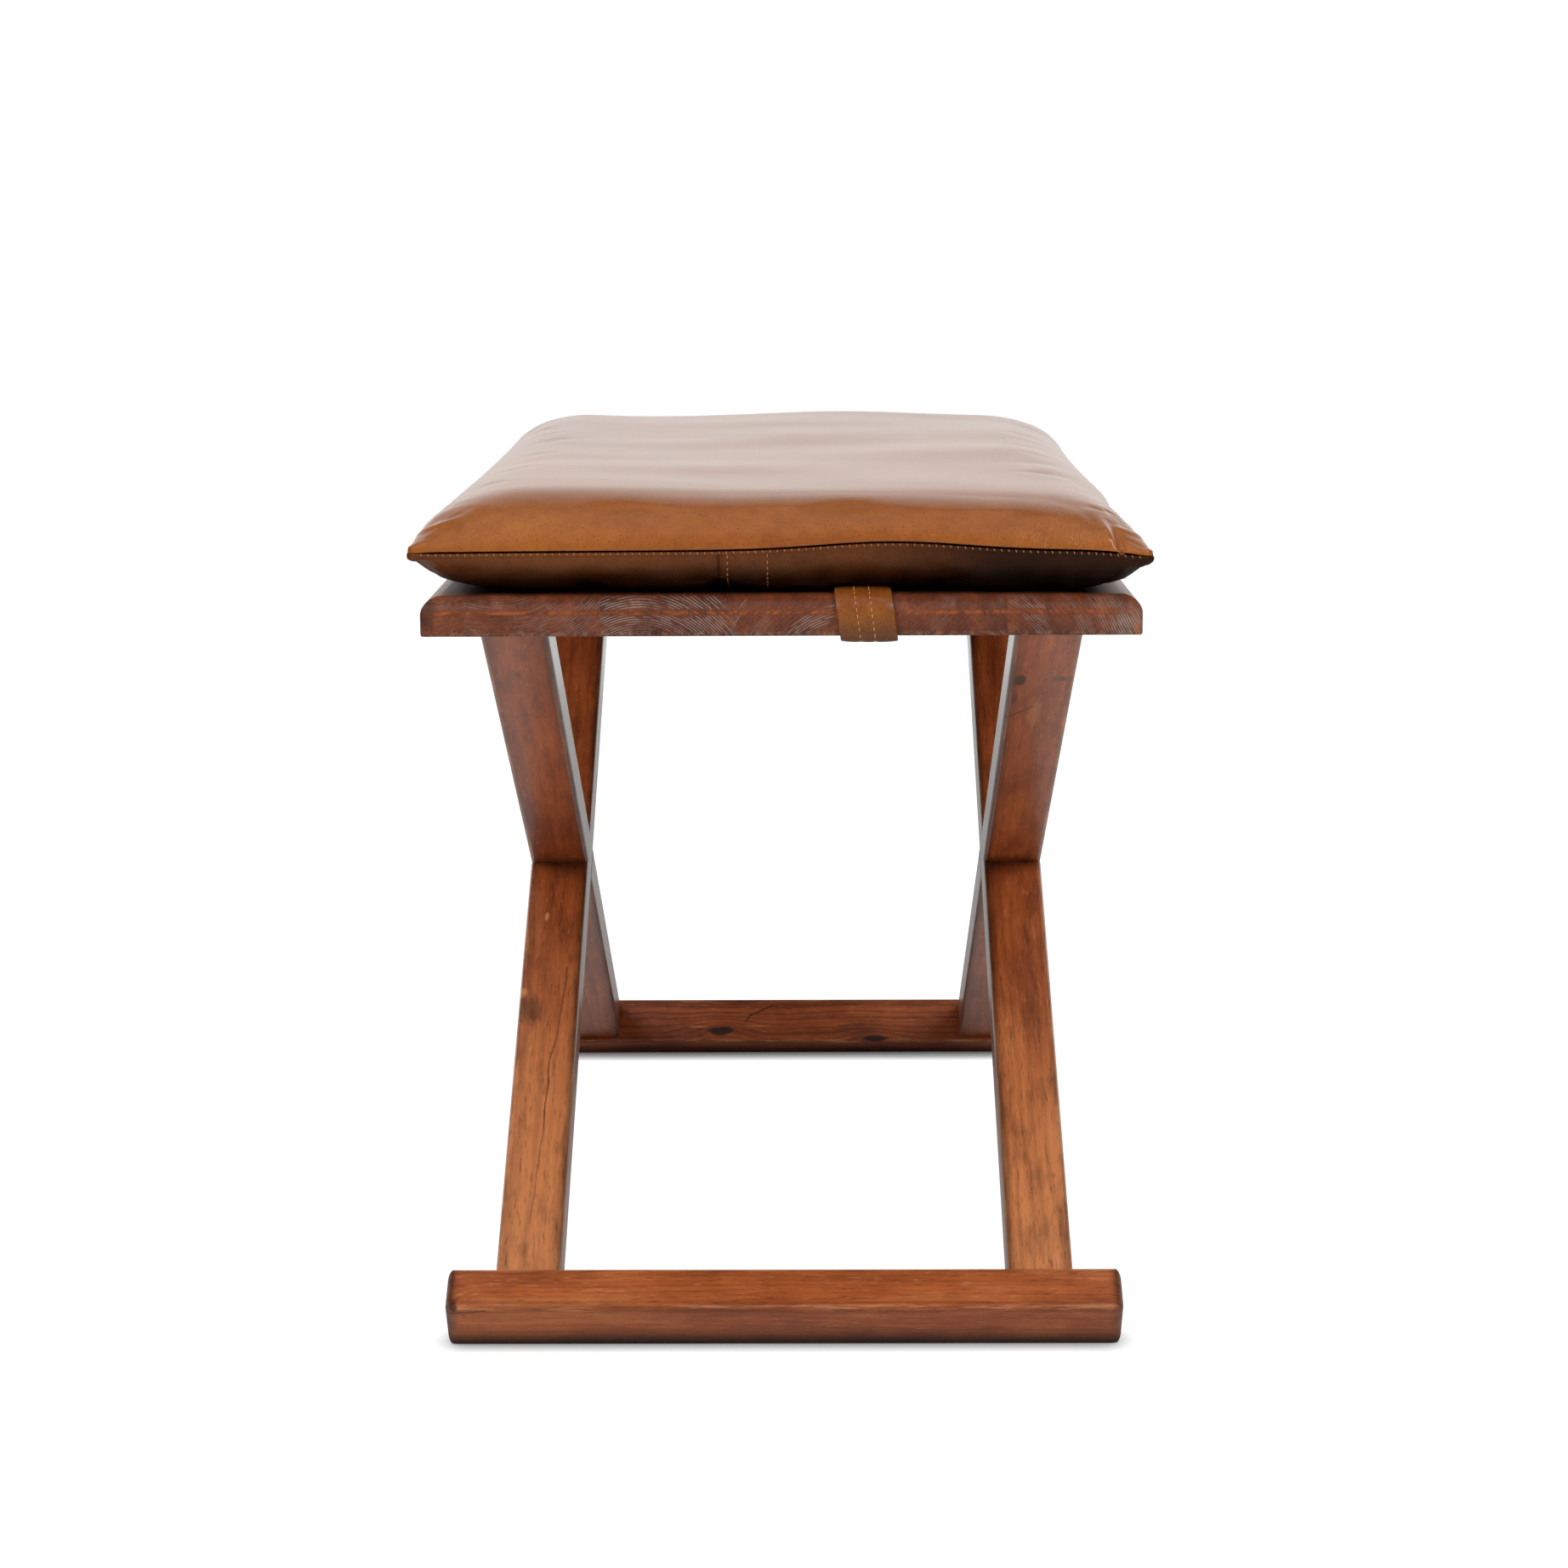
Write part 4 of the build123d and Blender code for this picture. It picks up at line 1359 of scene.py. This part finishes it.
@dataclass
class Straps:
    """Leather straps over the board's ends.

    They bend round the arrises of its ends. offset is how far from the board's middle they
    lie, ease is the gap between them and its end, top_lap and under_lap are how far they reach
    in over it and under it, and lean is their tilt. rows are their lines of stitches, from
    their own middle.
    """

    offset: float = 0.047
    width: float = 0.032
    thickness: float = 0.0028
    ease: float = 0.0003
    top_lap: float = 0.022
    under_lap: float = 0.044
    lean: float = radians(7.5)
    rows: tuple[float, float] = (-0.0048, 0.0034)
    body: str = "frame"
    outline: list[Vector] = field(default_factory=list)

    def __post_init__(self) -> None:
        """Lay out the path of the strap's outer face, from its lap on the board to its end below."""
        out = self.ease + self.thickness
        corners = [
            (self.top_lap, SEAT_TOP + self.thickness),
            (-out, SEAT_TOP + self.thickness),
            (-out, SEAT_UNDERSIDE - self.thickness),
            (self.under_lap, SEAT_UNDERSIDE - self.thickness),
        ]
        radii = [BOARD_ARRISES[0] + out, BOARD_ARRISES[1] + self.thickness]
        self.outline = rounded([Vector(corner) for corner in corners], radii, 1.2 * MM)

    def build(self) -> None:
        """Make both straps."""
        # The strap's hide darkens below the board's rounded edge: painted shade
        hide = Hide(
            "strap_hide",
            deep=(0.24, 0.060, 0.007),
            base=(0.34, 0.092, 0.010),
            pale=(0.47, 0.142, 0.018),
            rough=0.38,
            grain=0.0012,
            seed=2.0,
            clear_rough=0.27,
            darkening=(SEAT_TOP - 0.008, SEAT_TOP - 0.024),
            low_shade=0.46,
            depth=0.00024,
        ).material()
        thread = ThreadTone("strap_thread", (0.80, 0.38, 0.12)).material()
        for name, end in FRONT_AND_BACK:
            band = piece(f"{name}_strap_leather", self.band(end), hide, self.body)
            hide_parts(f"{name}_strap")
            piece(f"{name}_strap_stitching", self.stitching(end), thread, self.body)

    def place(self, number: int, across: float, end: float, lift: float = 0.0) -> Vector:
        """Point of the strap's outer face.

        Args:
            number: Place on the path.
            across: Place across the band.
            end: -1 for the front of the board, 1 for its back.
            lift: How far the point stands off the face.

        Returns:
            The point.
        """
        path = self.outline
        run = (path[min(number + 1, len(path) - 1)] - path[max(number - 1, 0)]).normalized()
        spot = path[number] + Vector((run.y, -run.x)) * (lift + self._puff(across))
        shift = ((SEAT_TOP + SEAT_UNDERSIDE) / 2 - spot.y) * tan(self.lean) * -end
        return Vector((-end * self.offset + across + shift, end * (SEAT_LENGTH / 2 - spot.x), spot.y))

    def _puff(self, across: float) -> float:
        """How far the leather swells between its rows of stitches."""
        share = across / self.width * 2
        pulled = sum(bell(across - row, 1.3 * MM) for row in self.rows)
        return 0.0008 * (1.0 - share**4) - 0.00030 * pulled

    def band(self, end: float) -> bmesh.types.BMesh:
        """Shape one strap from a strip, with its thickness and eased edges."""
        bm = bmesh.new()
        bmesh.ops.create_grid(bm, x_segments=40, y_segments=len(self.outline) - 1, size=1.0)
        for vert in bm.verts:
            number = round((vert.co.y + 1.0) / 2 * (len(self.outline) - 1))
            vert.co = self.place(number, vert.co.x * self.width / 2, end)
        if end < 0:
            bmesh.ops.reverse_faces(bm, faces=bm.faces)
        bm.normal_update()
        bmesh.ops.solidify(bm, geom=bm.verts[:] + bm.edges[:] + bm.faces[:], thickness=self.thickness)
        bmesh.ops.recalc_face_normals(bm, faces=bm.faces)
        sharp = [edge for edge in bm.edges if edge.is_manifold and edge.calc_face_angle() > 1.0]
        bmesh.ops.bevel(
            bm,
            geom=sharp,
            offset=0.75 * MM,
            offset_type="OFFSET",
            segments=3,
            profile=0.5,
            affect="EDGES",
            material=-1,
        )
        return bm

    def stitching(self, end: float) -> bmesh.types.BMesh:
        """Rows of stitches along the middle of the strap."""
        bm = bmesh.new()
        for row in self.rows:
            for number in range(2, len(self.outline) - 3, 3):
                spots = [self.place(number + step, row, end, 0.15 * MM) for step in (0, 2)]
                stitch(bm, spots[0], spots[1], 0.34 * MM, 0.34 * MM)
        return bm


def rounded(corners: Sequence[Vector], radii: Sequence[float], pitch: float) -> list[Vector]:
    """Points at an even pitch along a path of straight runs and tangent arcs.

    Args:
        corners: Corners of the path in its plane.
        radii: Radius at each inner corner.
        pitch: Distance between points.

    Returns:
        The points, first and last corners among them.
    """
    traced = [corners[0].copy()]
    for before, corner, after, radius in zip(corners, corners[1:], corners[2:], radii):
        come, go = (corner - before).normalized(), (after - corner).normalized()
        turn = come.angle(go)
        spin = 1 if come.cross(go) > 0 else -1
        start = corner - come * (radius * tan(turn / 2))
        centre = start + Vector((-come.y, come.x)) * radius * spin
        arm = start - centre
        count = max(4, ceil(radius * turn / pitch))
        for step in range(count + 1):
            angle = spin * turn * step / count
            across, along = arm.x * cos(angle) - arm.y * sin(angle), arm.x * sin(angle) + arm.y * cos(angle)
            traced.append(centre + Vector((across, along)))
    traced.append(corners[-1].copy())
    runs = [(b - a).length for a, b in zip(traced, traced[1:])]
    count = max(2, round(sum(runs) / pitch))
    points, reached, number = [], 0.0, 0
    for step in range(count + 1):
        want = sum(runs) * step / count
        while number < len(runs) - 1 and reached + runs[number] < want:
            reached += runs[number]
            number += 1
        share = (want - reached) / runs[number] if runs[number] else 0.0
        points.append(traced[number].lerp(traced[number + 1], min(share, 1.0)))
    return points


def stitch(bm: bmesh.types.BMesh, first: Vector, second: Vector, radius: float, height: float) -> None:
    """Add one stitch, a short swollen length of thread between two holes.

    Args:
        bm: Mesh that takes it.
        first: One hole.
        second: The other hole.
        radius: Half the thread's width.
        height: Half its thickness.
    """
    run = second - first
    along = run.normalized()
    turn = along.to_track_quat("X", "Z").to_matrix().to_4x4()
    size = Matrix.Diagonal((run.length / 2 * 1.05, radius, height, 1.0))
    matrix = Matrix.Translation((first + second) / 2) @ turn @ size
    bmesh.ops.create_uvsphere(bm, u_segments=6, v_segments=5, radius=1.0, matrix=matrix)


@dataclass(frozen=True)
class Softbox:
    """A flat studio light that the camera doesn't see.

    glow is its brightness against the white background. place is its middle, and target is what
    it faces.
    """

    name: str
    glow: float
    width: float
    height: float
    place: Triple
    target: Triple = (0.0, 0.0, 0.3)
    tint: Triple = (1.0, 1.0, 1.0)

    def build(self) -> None:
        """Hang the light."""
        light = bpy.data.lights.new(self.name, "AREA")
        light.color = self.tint
        light.shape = "RECTANGLE"
        light.size = self.width
        light.size_y = self.height
        light.energy = self.glow * pi * self.width * self.height
        holder = linked(self.name, light)
        aim = (Vector(self.target) - Vector(self.place)).to_track_quat("-Z", "Y")
        holder.matrix_world = Matrix.Translation(self.place) @ aim.to_matrix().to_4x4()
        holder.visible_camera = False


@dataclass
class Studio:
    """Floor, lights and camera.

    focal_pixels is the focal length in the photo's own pixels. shadow_reach is how far from the
    stool's feet the floor darkens, and sweep is half the floor's size.
    """

    focal_pixels: float = 3851.23
    sensor: float = 36.0
    position: Triple = (0.013316, -2.146022, 0.662394)
    pitch: float = radians(10.331)
    yaw: float = radians(0.386)
    roll: float = radians(0.231)
    shadow_reach: float = 0.014
    sweep: float = 300.0
    lights: tuple[Softbox, ...] = (
        Softbox("low_wall", 0.95, 7.0, 0.60, (0.0, 2.3, 0.25), (0.0, 0.0, 0.25), (0.97, 1.0, 0.98)),
        Softbox("white_wall", 1.50, 7.0, 0.50, (0.0, 2.3, 0.80), (0.0, 0.0, 0.80), (0.97, 1.0, 0.98)),
        Softbox("upper_wall", 0.80, 7.0, 0.50, (0.0, 2.3, 1.30), (0.0, 0.0, 1.30)),
        Softbox("high_wall", 0.42, 7.0, 0.90, (0.0, 2.3, 2.00), (0.0, 0.0, 2.00)),
        Softbox("left_key", 5.4, 1.5, 1.5, (-1.75, -1.9, 2.3)),
        Softbox("right_key", 5.4, 1.5, 1.5, (1.75, -1.9, 2.3)),
        Softbox("overhead_fill", 0.45, 3.0, 3.0, (0.0, 0.0, 3.0)),
        Softbox("front_fill", 0.18, 5.0, 1.6, (0.0, -3.4, 0.4)),
    )

    def build(self) -> None:
        """Set the stage."""
        self._floor()
        self._world()
        for light in self.lights:
            light.build()
        self._camera()
        view = bpy.context.scene.view_settings
        view.view_transform = "Standard"
        view.look = "None"

    def _floor(self) -> None:
        """A bright pale sweep for the eye, over a dimmer one that the stool is lit from."""
        bright = Bench("pale_floor")
        bright.finish((0.2, 0.2, 0.2, 1.0), 0.9, None, 0.0, Emission_Strength=1.02, Specular_IOR_Level=0.1)
        contact = bright.node("ShaderNodeAmbientOcclusion", {"samples": 8}, {"Distance": self.shadow_reach})
        bright.feed(bright.shader.inputs["Emission Color"], Signal(bright, contact.outputs["Color"]))
        floor = self._sheet("floor", 0.0, bright.material)
        floor.visible_diffuse = False
        floor.visible_glossy = False
        dim = Bench("dim_floor")
        dim.finish((0.84, 0.84, 0.83, 1.0), 0.9, None, 0.0, Specular_IOR_Level=0.1)
        bounce = self._sheet("floor_bounce", -0.001, dim.material)
        bounce.visible_camera = False

    def _sheet(self, name: str, height: float, material: bpy.types.Material) -> bpy.types.Object:
        """Lay a wide flat sheet that isn't part of the stool."""
        bm = bmesh.new()
        bmesh.ops.create_grid(bm, x_segments=1, y_segments=1, size=self.sweep)
        bmesh.ops.translate(bm, verts=bm.verts, vec=(0.0, 0.0, height))
        mesh = meshed(name, bm)
        mesh.materials.append(material)
        sheet = linked(name, mesh)
        sheet.visible_shadow = False
        return sheet

    def _world(self) -> None:
        """White background, which gives no light of its own."""
        world = bpy.data.worlds.new("white_room")
        world.use_nodes = True
        background = world.node_tree.nodes["Background"]
        background.inputs["Color"].default_value = (1.0, 1.0, 1.0, 1.0)
        world.cycles_visibility.diffuse = False
        world.cycles_visibility.glossy = False
        bpy.context.scene.world = world

    def _camera(self) -> None:
        """The camera that saw the stool."""
        right = Vector((cos(self.yaw), sin(self.yaw), 0.0))
        ahead = Vector((-sin(self.yaw), cos(self.yaw), 0.0))
        height = Vector((0.0, 0.0, 1.0))
        forward = ahead * cos(self.pitch) - height * sin(self.pitch)
        up = ahead * sin(self.pitch) + height * cos(self.pitch)
        level = cos(self.roll) * right - sin(self.roll) * up
        upright = sin(self.roll) * right + cos(self.roll) * up
        camera = bpy.data.cameras.new("camera")
        camera.sensor_width = self.sensor
        camera.lens = self.focal_pixels / PHOTO_PIXELS * self.sensor
        holder = linked("camera", camera)
        axes = Matrix((level, upright, -forward)).transposed().to_4x4()
        holder.matrix_world = Matrix.Translation(self.position) @ axes
        bpy.context.scene.camera = holder


def main() -> None:
    """Build every piece."""
    logging.basicConfig(level=logging.INFO, format="%(name)s: %(message)s")
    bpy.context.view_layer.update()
    Studio().build()
    Frame().build()
    form = CushionForm()
    Cushion(form, Settling(form)).build()
    Straps().build()


if __name__ == "__main__":
    main()
